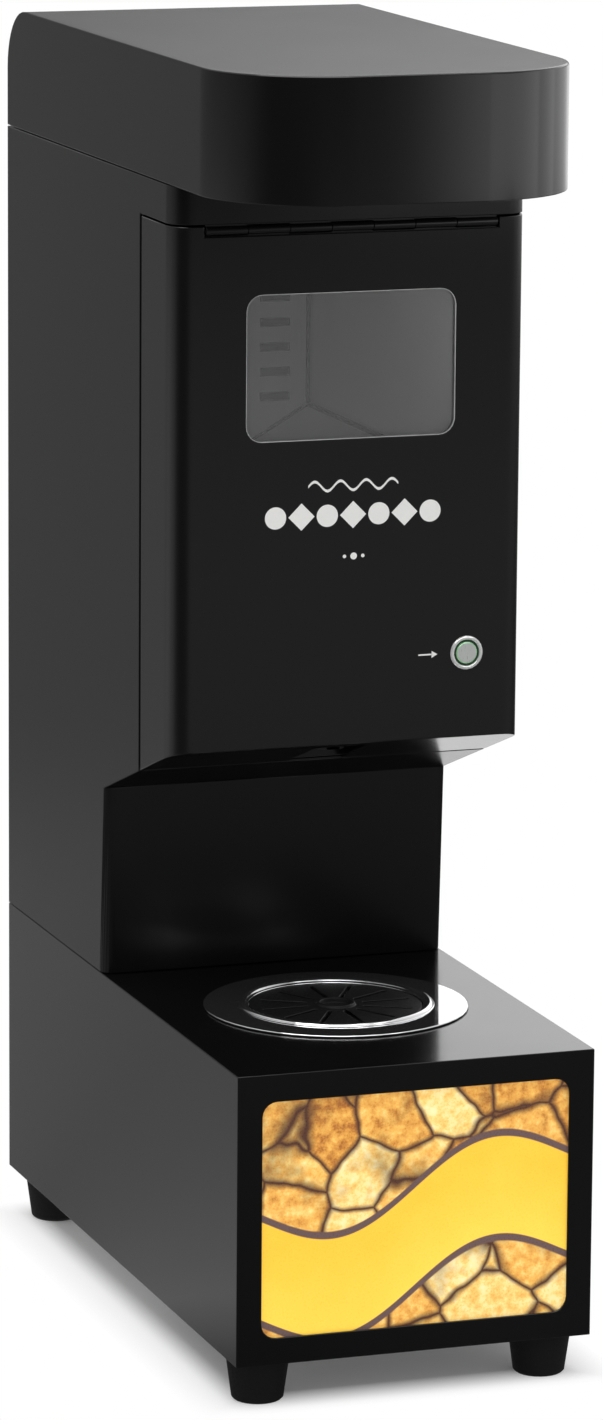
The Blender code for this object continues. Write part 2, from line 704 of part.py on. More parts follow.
def wire(name, points, radius, resolution, material):
    """A round wire along points, with closed ends."""
    curve = bpy.data.curves.new(name, "CURVE")
    curve.dimensions = "3D"
    curve.bevel_depth = radius
    curve.bevel_resolution = resolution
    curve.use_fill_caps = True
    spline = curve.splines.new("POLY")
    spline.points.add(len(points) - 1)
    for point, place_at in zip(spline.points, points):
        point.co = (*place_at, 1.0)
    piece = bpy.data.objects.new(name, curve)
    curve.materials.append(material)
    bpy.context.scene.collection.objects.link(piece)
    return piece


def make_button():
    centre = (BUTTON_X, BEZEL_FRONT, BUTTON_Z)
    bezel = turned("button_bezel", [
        (BEZEL_BORE_RADIUS, 0), (BEZEL_RADIUS - BEZEL_CHAMFER, 0), (BEZEL_RADIUS, BEZEL_CHAMFER),
        (BEZEL_RADIUS, BEZEL_THICKNESS), (BARREL_RADIUS, BEZEL_THICKNESS),
        (BARREL_RADIUS, BEZEL_THICKNESS + BARREL_LENGTH),
        (BEZEL_BORE_RADIUS, BEZEL_THICKNESS + BARREL_LENGTH)], BUTTON_STEPS, centre, POLISHED, "Y")
    ring = turned("button_light_ring", [
        (RING_BORE_RADIUS, RING_SET_IN), (RING_RADIUS, RING_SET_IN),
        (RING_RADIUS, RING_SET_IN + RING_LENGTH),
        (RING_BORE_RADIUS, RING_SET_IN + RING_LENGTH)], BUTTON_STEPS, centre, GREEN_LENS, "Y")
    stem_end = CONTACT_FRONT - BEZEL_FRONT + STEM_BORE_DEPTH - CAP_TRAVEL - TOUCH
    cap = turned("button_cap", [
        (0, CAP_SET_IN), (CAP_RADIUS - CAP_CHAMFER, CAP_SET_IN), (CAP_RADIUS, CAP_SET_IN + CAP_CHAMFER),
        (CAP_RADIUS, CAP_SET_IN + CAP_LENGTH), (STEM_RADIUS, CAP_SET_IN + CAP_LENGTH),
        (STEM_RADIUS, stem_end), (0, stem_end)], BUTTON_STEPS, centre, POLISHED, "Y")
    nut_front = HOUSING_FRONT + SHEET + TOUCH
    nut = prism("button_nut", arc(BUTTON_X, BUTTON_Z, NUT_RADIUS, 0, 360, 6)[:-1], "Y",
                nut_front, nut_front + NUT_THICKNESS, ZINC)
    thread = bmesh.new()
    add_rod(thread, (BUTTON_X, BUTTON_Z), "Y", BARREL_RADIUS + TOUCH, nut_front - OVERRUN,
            nut_front + NUT_THICKNESS + OVERRUN, BUTTON_STEPS)
    cut(nut, thread)
    contact = turned("button_contact_block", [
        (0, STEM_BORE_DEPTH), (STEM_BORE_RADIUS, STEM_BORE_DEPTH), (STEM_BORE_RADIUS, 0),
        (CONTACT_RADIUS, 0), (CONTACT_RADIUS, CONTACT_LENGTH), (0, CONTACT_LENGTH)],
        BUTTON_STEPS, (BUTTON_X, CONTACT_FRONT, BUTTON_Z), BLACK_PLASTIC, "Y")
    terminals = bmesh.new()
    back = CONTACT_FRONT + CONTACT_LENGTH
    for side in (-1, 1):
        for level in (-1, 1):
            x = BUTTON_X + side * TERMINAL_SPREAD
            z = BUTTON_Z + level * TERMINAL_SPREAD
            add_box(terminals, (x - TERMINAL_SHEET / 2, back - OVERRUN, z - TERMINAL_WIDTH / 2),
                    (x + TERMINAL_SHEET / 2, back + TERMINAL_LENGTH, z + TERMINAL_WIDTH / 2))
    join(contact, terminals)
    spring_room = CONTACT_FRONT - (BEZEL_FRONT + CAP_SET_IN + CAP_LENGTH) - CAP_TRAVEL
    spring_length = spring_room - 2 * BUTTON_SPRING_WIRE - 2 * TOUCH
    coil = helix_points(BUTTON_SPRING_RADIUS, spring_length, BUTTON_SPRING_TURNS, 10)
    spring = wire("button_spring", coil, BUTTON_SPRING_WIRE, 1, ZINC)
    spring.rotation_euler = (math.pi / 2, 0, 0)
    spring.location = (BUTTON_X, CONTACT_FRONT - TOUCH - BUTTON_SPRING_WIRE, BUTTON_Z)
    return bezel, ring, cap, nut, contact, spring


bezel, light_ring, button_cap, button_nut, contact_block, button_spring = make_button()
carry(door_pivot, bezel, light_ring, button_nut, contact_block, button_spring)
button_pivot = pivot("button_slide", (BUTTON_X, BEZEL_FRONT, BUTTON_Z))
carry(button_pivot, button_cap)

# Tube pump

ROLLERS = 3
ROLLER_RADIUS = 0.007
ROLLER_CIRCLE_RADIUS = 0.0185
ROLLER_PIN_RADIUS = 0.0022
ROLLER_LENGTH = 0.0174
DISC_RADIUS = 0.024
DISC_THICKNESS = 0.003
HUB_RADIUS = 0.007
PUMP_STEPS = 24
HOUSING_LOW_X = -0.062
HOUSING_HIGH_X = 0.056
HOUSING_HALF_HEIGHT = 0.034
HOUSING_RADIUS = 0.005
TRACK_RADIUS = 0.029
TRACK_HALF_ANGLE = 62
TRACK_STEPS = 12
SHOE_WIDTH = 0.016
SHOE_HALF_HEIGHT = 0.028
SHOE_BACK_X = -0.026
SHOE_NOSE_X = 0.0065
SHOE_TRAVEL = 0.012
SHOE_TAB_WIDTH = 0.012
SHOE_TAB_HEIGHT = 0.024
SHOE_TAB_DEPTH = 0.005
GUIDE_ROD_RADIUS = 0.0025
GUIDE_ROD_SPREAD = 0.015
GUIDE_ROD_TIP_X = -0.017
GUIDE_SHEET = 0.003
GUIDE_BACK_X = -0.061
GUIDE_HALF_HEIGHT = 0.024
GUIDE_FOOT = 0.015
SHOE_SPRING_RADIUS = 0.0042
SHOE_SPRING_WIRE = 0.0006
SHOE_SPRING_TURNS = 5
SHAFT_DEPTH_IN_GEARBOX = 0.012
GEARBOX_RADIUS = 0.0185
GEARBOX_LENGTH = 0.025
MOTOR_RADIUS = 0.0165
MOTOR_LENGTH = 0.053
MOTOR_SHOULDER = 0.002

ROTOR_LENGTH = ROLLER_LENGTH + 2 * TOUCH + 2 * DISC_THICKNESS
ROTOR_FRONT = TUBE_Y - ROTOR_LENGTH / 2
ROTOR_BACK = TUBE_Y + ROTOR_LENGTH / 2
HOUSING_PLATE_FRONT = ROTOR_BACK + TOUCH


def roller_centre(index):
    angle = math.pi + math.tau * index / ROLLERS
    return (PUMP_X + ROLLER_CIRCLE_RADIUS * math.cos(angle),
            PUMP_Z + ROLLER_CIRCLE_RADIUS * math.sin(angle))


def make_pump_housing():
    outline = rounded_outline(HOUSING_LOW_X, PUMP_Z - HOUSING_HALF_HEIGHT, HOUSING_HIGH_X,
                              PUMP_Z + HOUSING_HALF_HEIGHT, HOUSING_RADIUS, 4)
    plate = prism("pump_housing", outline, "Y", HOUSING_PLATE_FRONT, FRAME_FRONT - TOUCH, GREY_PLASTIC)
    bearing = bmesh.new()
    add_rod(bearing, (PUMP_X, PUMP_Z), "Y", SHAFT_RADIUS + TOUCH, HOUSING_PLATE_FRONT - OVERRUN,
            FRAME_FRONT + OVERRUN, PUMP_STEPS)
    return cut(plate, bearing)


def make_pump_rotor():
    bm = bmesh.new()
    add_rod(bm, (PUMP_X, PUMP_Z), "Y", HUB_RADIUS, ROTOR_FRONT, ROTOR_BACK, PUMP_STEPS)
    rotor = round_shading(to_object("pump_rotor", bm, WHITE_PLASTIC))
    discs = bmesh.new()
    for start in (ROTOR_FRONT, ROTOR_BACK - DISC_THICKNESS):
        add_rod(discs, (PUMP_X, PUMP_Z), "Y", DISC_RADIUS, start, start + DISC_THICKNESS, PUMP_STEPS)
    join(rotor, discs)
    pins = bmesh.new()
    for index in range(ROLLERS):
        add_rod(pins, roller_centre(index), "Y", ROLLER_PIN_RADIUS, ROTOR_FRONT + DISC_THICKNESS / 2,
                ROTOR_BACK - DISC_THICKNESS / 2, 12)
    combine(rotor, tool("rotor_pins", pins), "UNION")
    bore = bmesh.new()
    add_rod(bore, (PUMP_X, PUMP_Z), "Y", SHAFT_RADIUS + TOUCH, ROTOR_FRONT - OVERRUN, ROTOR_BACK + OVERRUN,
            PUMP_STEPS)
    combine(rotor, tool("rotor_bore", bore), "DIFFERENCE")
    return rotor


def make_roller(index):
    x, z = roller_centre(index)
    start = ROTOR_FRONT + DISC_THICKNESS + TOUCH
    return turned("pump_roller_" + str(index + 1), [
        (ROLLER_PIN_RADIUS + TOUCH, 0), (ROLLER_RADIUS, 0), (ROLLER_RADIUS, ROLLER_LENGTH),
        (ROLLER_PIN_RADIUS + TOUCH, ROLLER_LENGTH)], 20, (x, start, z), GREY_PLASTIC, "Y")


def make_drive_shaft():
    bm = bmesh.new()
    add_rod(bm, (PUMP_X, PUMP_Z), "Y", SHAFT_RADIUS, ROTOR_FRONT,
            FRAME_BACK + SHAFT_DEPTH_IN_GEARBOX, PUMP_STEPS)
    return round_shading(to_object("drive_shaft", bm, STAINLESS))


def make_pump_shoe():
    """Pressing shoe with a round track that faces the rollers, bored for its two guide rods."""
    start = TUBE_Y - SHOE_WIDTH / 2
    end = TUBE_Y + SHOE_WIDTH / 2
    track = arc(PUMP_X, PUMP_Z, TRACK_RADIUS, 180 - TRACK_HALF_ANGLE, 180 + TRACK_HALF_ANGLE,
                TRACK_STEPS)
    outline = ([(SHOE_BACK_X, PUMP_Z - SHOE_HALF_HEIGHT), (SHOE_BACK_X, PUMP_Z + SHOE_HALF_HEIGHT),
                (SHOE_NOSE_X, PUMP_Z + SHOE_HALF_HEIGHT)]
               + track
               + [(SHOE_NOSE_X, PUMP_Z - SHOE_HALF_HEIGHT)])
    shoe = prism("pump_shoe", outline, "Y", start, end, WHITE_PLASTIC)
    tab = bmesh.new()
    add_box(tab, (SHOE_BACK_X, start - SHOE_TAB_DEPTH, PUMP_Z - SHOE_TAB_HEIGHT / 2),
            (SHOE_BACK_X + SHOE_TAB_WIDTH, start + SHOE_WIDTH / 4, PUMP_Z + SHOE_TAB_HEIGHT / 2))
    join(shoe, tab)
    bores = bmesh.new()
    for way in (-1, 1):
        add_rod(bores, (TUBE_Y, PUMP_Z + way * GUIDE_ROD_SPREAD), "X", GUIDE_ROD_RADIUS + TOUCH,
                SHOE_BACK_X - OVERRUN, GUIDE_ROD_TIP_X + SHOE_TRAVEL + TOUCH, 12)
    cut(shoe, bores)
    return shoe


def make_shoe_guide():
    """Bracket on the pump housing with the two rods that the shoe slides on."""
    back_x = GUIDE_BACK_X
    front_x = GUIDE_BACK_X + GUIDE_SHEET
    foot_y = HOUSING_PLATE_FRONT - TOUCH
    outline = [(back_x, TUBE_Y - SHOE_WIDTH / 2), (front_x, TUBE_Y - SHOE_WIDTH / 2),
               (front_x, foot_y - GUIDE_SHEET), (back_x + GUIDE_FOOT, foot_y - GUIDE_SHEET),
               (back_x + GUIDE_FOOT, foot_y), (back_x, foot_y)]
    bracket = prism("shoe_guide", outline, "Z", PUMP_Z - GUIDE_HALF_HEIGHT,
                    PUMP_Z + GUIDE_HALF_HEIGHT, STAINLESS)
    rods = bmesh.new()
    for way in (-1, 1):
        add_rod(rods, (TUBE_Y, PUMP_Z + way * GUIDE_ROD_SPREAD), "X", GUIDE_ROD_RADIUS,
                back_x + GUIDE_SHEET / 2, GUIDE_ROD_TIP_X, 12)
    join(bracket, rods)
    return bracket


def make_shoe_spring(name_end, way):
    """Coil on a guide rod, as short as the open shoe leaves it."""
    room = SHOE_BACK_X - SHOE_TRAVEL - (GUIDE_BACK_X + GUIDE_SHEET)
    length = room - 2 * SHOE_SPRING_WIRE - 2 * TOUCH
    coil = helix_points(SHOE_SPRING_RADIUS, length, SHOE_SPRING_TURNS, 10)
    spring = wire("shoe_spring_" + name_end, coil, SHOE_SPRING_WIRE, 1, ZINC)
    spring.rotation_euler = (0, math.pi / 2, 0)
    spring.location = (GUIDE_BACK_X + GUIDE_SHEET + TOUCH + SHOE_SPRING_WIRE, TUBE_Y,
                       PUMP_Z + way * GUIDE_ROD_SPREAD)
    return spring


def make_gearbox():
    length = GEARBOX_LENGTH
    bore = SHAFT_RADIUS + TOUCH
    depth = SHAFT_DEPTH_IN_GEARBOX + TOUCH
    return turned("pump_gearbox", [
        (0, depth), (bore, depth), (bore, 0), (GEARBOX_RADIUS, 0), (GEARBOX_RADIUS, length), (0, length)],
        PUMP_STEPS, (PUMP_X, FRAME_BACK + TOUCH, PUMP_Z), ZINC, "Y")


def make_motor():
    length = MOTOR_LENGTH
    inner = MOTOR_RADIUS - MOTOR_SHOULDER
    return turned("pump_motor", [
        (0, 0), (inner, 0), (MOTOR_RADIUS, MOTOR_SHOULDER), (MOTOR_RADIUS, length - MOTOR_SHOULDER),
        (inner, length), (0, length)], PUMP_STEPS,
        (PUMP_X, FRAME_BACK + GEARBOX_LENGTH + 2 * TOUCH, PUMP_Z), BLACK_PLASTIC, "Y")


pump_rotor = make_pump_rotor()
drive_shaft = make_drive_shaft()
make_pump_housing()
make_gearbox()
make_motor()
rotor_pivot = pivot("rotor_pivot", (PUMP_X, TUBE_Y, PUMP_Z))
carry(rotor_pivot, pump_rotor, drive_shaft)
for roller_index in range(ROLLERS):
    roller = make_roller(roller_index)
    roller_x, roller_z = roller_centre(roller_index)
    carry(pivot(roller.name + "_pivot", (roller_x, TUBE_Y, roller_z)), roller)
shoe_pivot = pivot("shoe_slide", (SHOE_BACK_X, TUBE_Y, PUMP_Z))
carry(shoe_pivot, make_pump_shoe())
make_shoe_guide()
make_shoe_spring("upper", 1)
make_shoe_spring("lower", -1)

# Tube guide over the door's notch

TUBE_BORE_RADIUS = 0.0053
TUBE_GUIDE_RADIUS = 0.008
TUBE_GUIDE_RISE = 0.003
TUBE_GUIDE_SHARE = 0.53333
TUBE_GUIDE_SLIT = 0.007
GUIDE_ARM_WIDTH = 0.008
GUIDE_ARM_HEIGHT = 0.010
GUIDE_PLATE_WIDTH = 0.024
GUIDE_PLATE_SHEET = 0.002

TUBE_GUIDE_BOTTOM = underside(TUBE_Y) + TUBE_GUIDE_RISE
TUBE_GUIDE_ROOM = PUMP_Z - HOUSING_HALF_HEIGHT - underside(TUBE_Y)
TUBE_GUIDE_TOP = TUBE_GUIDE_BOTTOM + TUBE_GUIDE_ROOM * TUBE_GUIDE_SHARE


def make_tube_guide():
    bm = bmesh.new()
    add_rod(bm, (0, TUBE_Y), "Z", TUBE_GUIDE_RADIUS, TUBE_GUIDE_BOTTOM, TUBE_GUIDE_TOP, PUMP_STEPS)
    guide = to_object("tube_guide", bm, BLACK_PLASTIC)
    back = FRAME_FRONT - TOUCH
    middle = (TUBE_GUIDE_BOTTOM + TUBE_GUIDE_TOP) / 2
    arm = bmesh.new()
    add_box(arm, (-GUIDE_ARM_WIDTH / 2, TUBE_Y, middle - GUIDE_ARM_HEIGHT / 2),
            (GUIDE_ARM_WIDTH / 2, back - GUIDE_PLATE_SHEET / 2, middle + GUIDE_ARM_HEIGHT / 2))
    join(guide, arm)
    plate = bmesh.new()
    add_box(plate, (-GUIDE_PLATE_WIDTH / 2, back - GUIDE_PLATE_SHEET, TUBE_GUIDE_BOTTOM),
            (GUIDE_PLATE_WIDTH / 2, back, TUBE_GUIDE_TOP))
    combine(guide, tool("tube_guide_plate", plate), "UNION")
    passage = bmesh.new()
    add_rod(passage, (0, TUBE_Y), "Z", TUBE_BORE_RADIUS, TUBE_GUIDE_BOTTOM - OVERRUN,
            TUBE_GUIDE_TOP + OVERRUN, PUMP_STEPS)
    cut(guide, passage)
    slit = bmesh.new()
    add_box(slit, (-TUBE_GUIDE_SLIT / 2, TUBE_Y - TUBE_GUIDE_RADIUS - OVERRUN, TUBE_GUIDE_BOTTOM - OVERRUN),
            (TUBE_GUIDE_SLIT / 2, TUBE_Y, TUBE_GUIDE_TOP + OVERRUN))
    combine(guide, tool("tube_guide_slit", slit), "DIFFERENCE")
    return guide


make_tube_guide()

# Warm air: fan, heating element and thermostat

FAN_STEPS = 24
FAN_CORNER = 0.004
FAN_SPIDER_RADIUS = 0.014
FAN_SPIDER_DEPTH = 0.003
FAN_STRUT_WIDTH = 0.004
FAN_HUB_RADIUS = 0.0135
FAN_TIP_RADIUS = 0.0322
FAN_BLADES = 7
BLADE_SHEET = 0.0012
BLADE_TWIST = math.radians(42)
BLADE_MARGIN = 0.002
HEATER_ROD_RADIUS = 0.00325
HEATER_RING_RADIUS = 0.044
HEATER_GAP_ANGLE = 36
HEATER_STEPS = 40
HEATER_SETBACK = 0.0085
HEATER_FLANGE_WIDTH = 0.044
HEATER_FLANGE_HEIGHT = 0.016
HEATER_FLANGE_SHEET = 0.002
THERMOSTAT_RADIUS = 0.008
THERMOSTAT_HEIGHT = 0.007
THERMOSTAT_CAP_RADIUS = 0.006
THERMOSTAT_X_SHARE = 0.2
THERMOSTAT_FROM_BACK = 0.081

FAN_FRONT = LINER_BACK + TOUCH
FAN_BACK = FAN_FRONT + FAN_DEPTH


def make_fan_frame():
    half = FAN_SIZE / 2
    frame = prism("fan_frame", rounded_outline(-half, FAN_CENTRE_Z - half, half, FAN_CENTRE_Z + half,
                                               FAN_CORNER, 3), "Y", FAN_FRONT, FAN_BACK, BLACK_PLASTIC)
    duct = bmesh.new()
    add_rod(duct, (0, FAN_CENTRE_Z), "Y", FAN_BORE_RADIUS, FAN_FRONT - OVERRUN,
            FAN_BACK + OVERRUN, FAN_STEPS)
    cut(frame, duct)
    spider = bmesh.new()
    start = FAN_BACK - FAN_SPIDER_DEPTH
    reach = FAN_BORE_RADIUS + FAN_STRUT_WIDTH / 4
    add_box(spider, (-reach, start, FAN_CENTRE_Z - FAN_STRUT_WIDTH / 2),
            (reach, FAN_BACK, FAN_CENTRE_Z + FAN_STRUT_WIDTH / 2))
    join(frame, spider)
    cross = bmesh.new()
    add_box(cross, (-FAN_STRUT_WIDTH / 2, start, FAN_CENTRE_Z - reach),
            (FAN_STRUT_WIDTH / 2, FAN_BACK, FAN_CENTRE_Z + reach))
    combine(frame, tool("fan_cross", cross), "UNION")
    mount = bmesh.new()
    add_rod(mount, (0, FAN_CENTRE_Z), "Y", FAN_SPIDER_RADIUS, start, FAN_BACK, FAN_STEPS)
    combine(frame, tool("fan_mount", mount), "UNION")
    return frame


def add_blade(bm, turn, start, end):
    """One fan blade: a thin slab from the hub to the tip, turned out of the fan's plane."""
    length = end - start
    corners = add_box(bm, (0, -BLADE_SHEET / 2, -length / 2),
                      (FAN_TIP_RADIUS, BLADE_SHEET / 2, length / 2))
    twist = Matrix.Rotation(math.pi / 2 - BLADE_TWIST, 4, "X")
    spin = Matrix.Rotation(turn, 4, "Y")
    move = Matrix.Translation((0, (start + end) / 2, FAN_CENTRE_Z))
    quarter = Matrix.Rotation(math.pi / 2, 4, "X")
    bmesh.ops.transform(bm, verts=corners, matrix=move @ spin @ twist @ quarter)


def make_fan_impeller():
    start = FAN_FRONT + BLADE_MARGIN
    end = FAN_BACK - FAN_SPIDER_DEPTH - TOUCH
    bm = bmesh.new()
    add_rod(bm, (0, FAN_CENTRE_Z), "Y", FAN_HUB_RADIUS, start, end, FAN_STEPS)
    impeller = round_shading(to_object("fan_impeller", bm, BLACK_PLASTIC))
    blades = bmesh.new()
    depth = end - start - 2 * BLADE_MARGIN
    middle = (start + end) / 2
    for index in range(FAN_BLADES):
        add_blade(blades, math.tau * index / FAN_BLADES, middle - depth / 2, middle + depth / 2)
    join(impeller, blades, crossing=True)
    return impeller


def make_heater():
    """Bent heating rod behind the slots: a ring whose two ends turn back to their flange."""
    plane = FAN_BACK + HEATER_SETBACK
    panel_front = BACK - SHEET - TOUCH - REAR_SHEET
    flange_front = panel_front - TOUCH - HEATER_FLANGE_SHEET
    ring = arc(0, FAN_CENTRE_Z, HEATER_RING_RADIUS, -90 + HEATER_GAP_ANGLE / 2, 270 - HEATER_GAP_ANGLE / 2,
               HEATER_STEPS)
    points = [(x, plane, z) for x, z in ring]
    ends = [(points[0][0], flange_front - TOUCH, points[0][2]),
            (points[-1][0], flange_front - TOUCH, points[-1][2])]
    rod = wire("heater_element", [ends[0]] + points + [ends[1]], HEATER_ROD_RADIUS, 2, STAINLESS)
    half_width = HEATER_FLANGE_WIDTH / 2
    half_height = HEATER_FLANGE_HEIGHT / 2
    box("heater_flange", (-half_width, flange_front, points[0][2] - half_height),
        (half_width, flange_front + HEATER_FLANGE_SHEET, points[0][2] + half_height), STAINLESS)
    return rod


def make_thermostat():
    return turned("thermostat_disc", [
        (0, 0), (THERMOSTAT_RADIUS, 0), (THERMOSTAT_RADIUS, THERMOSTAT_HEIGHT / 2),
        (THERMOSTAT_CAP_RADIUS, THERMOSTAT_HEIGHT / 2), (THERMOSTAT_CAP_RADIUS, THERMOSTAT_HEIGHT),
        (0, THERMOSTAT_HEIGHT)], 20,
        (BODY_WIDTH * THERMOSTAT_X_SHARE, LINER_BACK - THERMOSTAT_FROM_BACK, LINER_TOP + TOUCH), ALUMINIUM)


# Rear panel with its inlet and switch

REAR_SHEET = 0.0012
VENT_WIDTH_SHARE = 0.25
VENT_HEIGHT = 0.004
VENT_PITCH_SHARE = 0.0221
VENT_ROWS = 6
VENT_CENTRE_SHARE = 0.2
VENT_FIRST_SHARE = 0.83333
INLET_FROM_SIDE = 0.050
INLET_RISE = 0.045
INLET_FLANGE_WIDTH = 0.048
INLET_FLANGE_HEIGHT = 0.028
INLET_FLANGE_SHEET = 0.0012
INLET_FLANGE_RADIUS = 0.004
INLET_BODY_WIDTH = 0.028
INLET_BODY_HEIGHT = 0.020
INLET_BODY_DEPTH = 0.026
SOCKET_WIDTH = 0.0245
SOCKET_HEIGHT = 0.0165
SOCKET_DEPTH = 0.016
SOCKET_RADIUS = 0.004
BLADE_WIDTH = 0.002
BLADE_HEIGHT = 0.004
BLADE_PITCH = 0.007
EARTH_RISE = 0.003
BLADE_LENGTH = 0.013
SWITCH_X = 0
SWITCH_WIDTH = 0.0145
SWITCH_HEIGHT = 0.022
SWITCH_LIP = 0.0018
SWITCH_DEPTH = 0.018
SWITCH_WALL = 0.0015
ROCKER_DEPTH = 0.0075
ROCKER_TILT = math.radians(7)
ROCKER_CROWN = 0.0012
ROCKER_SIDE_GAP = 0.0004

VENT_WIDTH = BODY_WIDTH * VENT_WIDTH_SHARE
VENT_PITCH = BODY_HEIGHT * VENT_PITCH_SHARE
VENT_CENTRE_X = BODY_WIDTH * VENT_CENTRE_SHARE
VENT_FIRST_Z = level(VENT_FIRST_SHARE)
INLET_X = INLET_FROM_SIDE - HALF
INLET_Z = BASE_TOP + INLET_RISE
REAR_FACE = BACK - SHEET - TOUCH
REAR_FRONT = REAR_FACE - REAR_SHEET


def make_rear_panel():
    panel = box("rear_panel", (-HALF + SHEET + TOUCH, REAR_FRONT, BODY_BOTTOM + SHEET + TOUCH),
                (HALF - SHEET - TOUCH, REAR_FACE, BODY_TOP - SHEET - TOUCH), BLACK_PAINT)
    holes = bmesh.new()
    start = REAR_FRONT - OVERRUN
    end = REAR_FACE + OVERRUN
    for side in (-1, 1):
        for row in range(VENT_ROWS):
            low_z = VENT_FIRST_Z + row * VENT_PITCH
            add_box(holes, (side * VENT_CENTRE_X - VENT_WIDTH / 2, start, low_z),
                    (side * VENT_CENTRE_X + VENT_WIDTH / 2, end, low_z + VENT_HEIGHT))
    for x, width, height in ((INLET_X, INLET_BODY_WIDTH, INLET_BODY_HEIGHT),
                             (SWITCH_X, SWITCH_WIDTH, SWITCH_HEIGHT)):
        add_box(holes, (x - width / 2 - TOUCH, start, INLET_Z - height / 2 - TOUCH),
                (x + width / 2 + TOUCH, end, INLET_Z + height / 2 + TOUCH))
    cut(panel, holes)
    return panel


def centred_box(bm, x, z, width, height, start, end):
    return add_box(bm, (x - width / 2, start, z - height / 2), (x + width / 2, end, z + height / 2))


def make_power_inlet():
    """Panel inlet with a deep socket and three contact blades."""
    flange_back = REAR_FACE + TOUCH + INLET_FLANGE_SHEET
    outline = rounded_outline(INLET_X - INLET_FLANGE_WIDTH / 2, INLET_Z - INLET_FLANGE_HEIGHT / 2,
                              INLET_X + INLET_FLANGE_WIDTH / 2, INLET_Z + INLET_FLANGE_HEIGHT / 2,
                              INLET_FLANGE_RADIUS, 3)
    inlet = prism("power_inlet", outline, "Y", REAR_FACE + TOUCH, flange_back, BLACK_PLASTIC)
    body = bmesh.new()
    centred_box(body, INLET_X, INLET_Z, INLET_BODY_WIDTH, INLET_BODY_HEIGHT,
                REAR_FACE + TOUCH - INLET_BODY_DEPTH, REAR_FACE + TOUCH + INLET_FLANGE_SHEET / 2)
    join(inlet, body)
    floor = flange_back - SOCKET_DEPTH
    socket = bmesh.new()
    add_prism(socket, rounded_outline(INLET_X - SOCKET_WIDTH / 2, INLET_Z - SOCKET_HEIGHT / 2,
                                      INLET_X + SOCKET_WIDTH / 2, INLET_Z + SOCKET_HEIGHT / 2,
                                      SOCKET_RADIUS, 3), "Y", floor, flange_back + OVERRUN)
    cut(inlet, socket)
    blades = bmesh.new()
    for step in (-1, 0, 1):
        z = INLET_Z + (EARTH_RISE if step == 0 else -EARTH_RISE / 3)
        centred_box(blades, INLET_X + step * BLADE_PITCH, z, BLADE_WIDTH, BLADE_HEIGHT,
                    floor - BLADE_WIDTH, floor + BLADE_LENGTH)
    combine(inlet, tool("inlet_blades", blades), "UNION")
    return inlet


def make_switch():
    lip_back = REAR_FACE + TOUCH + INLET_FLANGE_SHEET
    bm = bmesh.new()
    centred_box(bm, SWITCH_X, INLET_Z, SWITCH_WIDTH + 2 * SWITCH_LIP, SWITCH_HEIGHT + 2 * SWITCH_LIP,
                REAR_FACE + TOUCH, lip_back)
    housing = to_object("switch_housing", bm, BLACK_PLASTIC)
    body = bmesh.new()
    centred_box(body, SWITCH_X, INLET_Z, SWITCH_WIDTH, SWITCH_HEIGHT, lip_back - SWITCH_DEPTH,
                lip_back - INLET_FLANGE_SHEET / 2)
    join(housing, body)
    well = bmesh.new()
    room_width = SWITCH_WIDTH - 2 * SWITCH_WALL
    room_height = SWITCH_HEIGHT - 2 * SWITCH_WALL
    floor = lip_back - SWITCH_DEPTH + SWITCH_WALL
    centred_box(well, SWITCH_X, INLET_Z, room_width, room_height, floor, lip_back + OVERRUN)
    cut(housing, well)
    half_height = room_height / 2 - ROCKER_SIDE_GAP
    half_width = room_width / 2 - TOUCH
    pivot_y = lip_back - ROCKER_DEPTH
    reach = half_height * math.cos(ROCKER_TILT) - ROCKER_DEPTH * math.sin(ROCKER_TILT)
    face = BACK - pivot_y - reach * math.sin(ROCKER_TILT) - ROCKER_CROWN
    outline = [(0, -reach), (face, -reach), (face - ROCKER_CROWN, 0), (face, reach), (0, reach),
               (-ROCKER_DEPTH / 2, 0)]
    rocker = prism("switch_rocker", outline, "X", -half_width, half_width, BLACK_PLASTIC)
    rocker.location = (SWITCH_X, pivot_y, INLET_Z)
    rocker.rotation_euler = (ROCKER_TILT, 0, 0)
    return housing, rocker


make_fan_frame()
fan_pivot = pivot("fan_pivot", (0, (FAN_FRONT + FAN_BACK) / 2, FAN_CENTRE_Z))
carry(fan_pivot, make_fan_impeller())
make_heater()
make_thermostat()
make_rear_panel()
make_power_inlet()
make_switch()

# Base

SIGN_SIDE_ROOM = 0.014
SIGN_WINDOW_RISE = 0.0145
SIGN_TOP_ROOM = 0.015
SIGN_WINDOW_RADIUS = 0.008
SIGN_STEPS = 5
BOWL_SETBACK = 0.1307
WIRE_HOLE_SIDE_ROOM = 0.012
WIRE_HOLE_FRONT_ROOM = 0.015
WIRE_HOLE_BACK_ROOM = 0.025
BASE_VENT_SHARE = 0.3
BASE_VENT_HEIGHT = 0.004
BASE_VENT_PITCH = 0.010
BASE_VENT_ROWS = 5
BASE_VENT_RISE = 0.050
FLOOR_SHEET = 0.0015
BOWL_Y = FRONT + BOWL_SETBACK
SIGN_WINDOW_HALF_WIDTH = HALF - SIGN_SIDE_ROOM
SIGN_WINDOW_HEIGHT = BASE_HEIGHT - SIGN_WINDOW_RISE - SIGN_TOP_ROOM
WIRE_HOLE_HALF_WIDTH = HALF - WIRE_HOLE_SIDE_ROOM
BASE_VENT_WIDTH = BODY_WIDTH * BASE_VENT_SHARE

# Drip bowl and grate

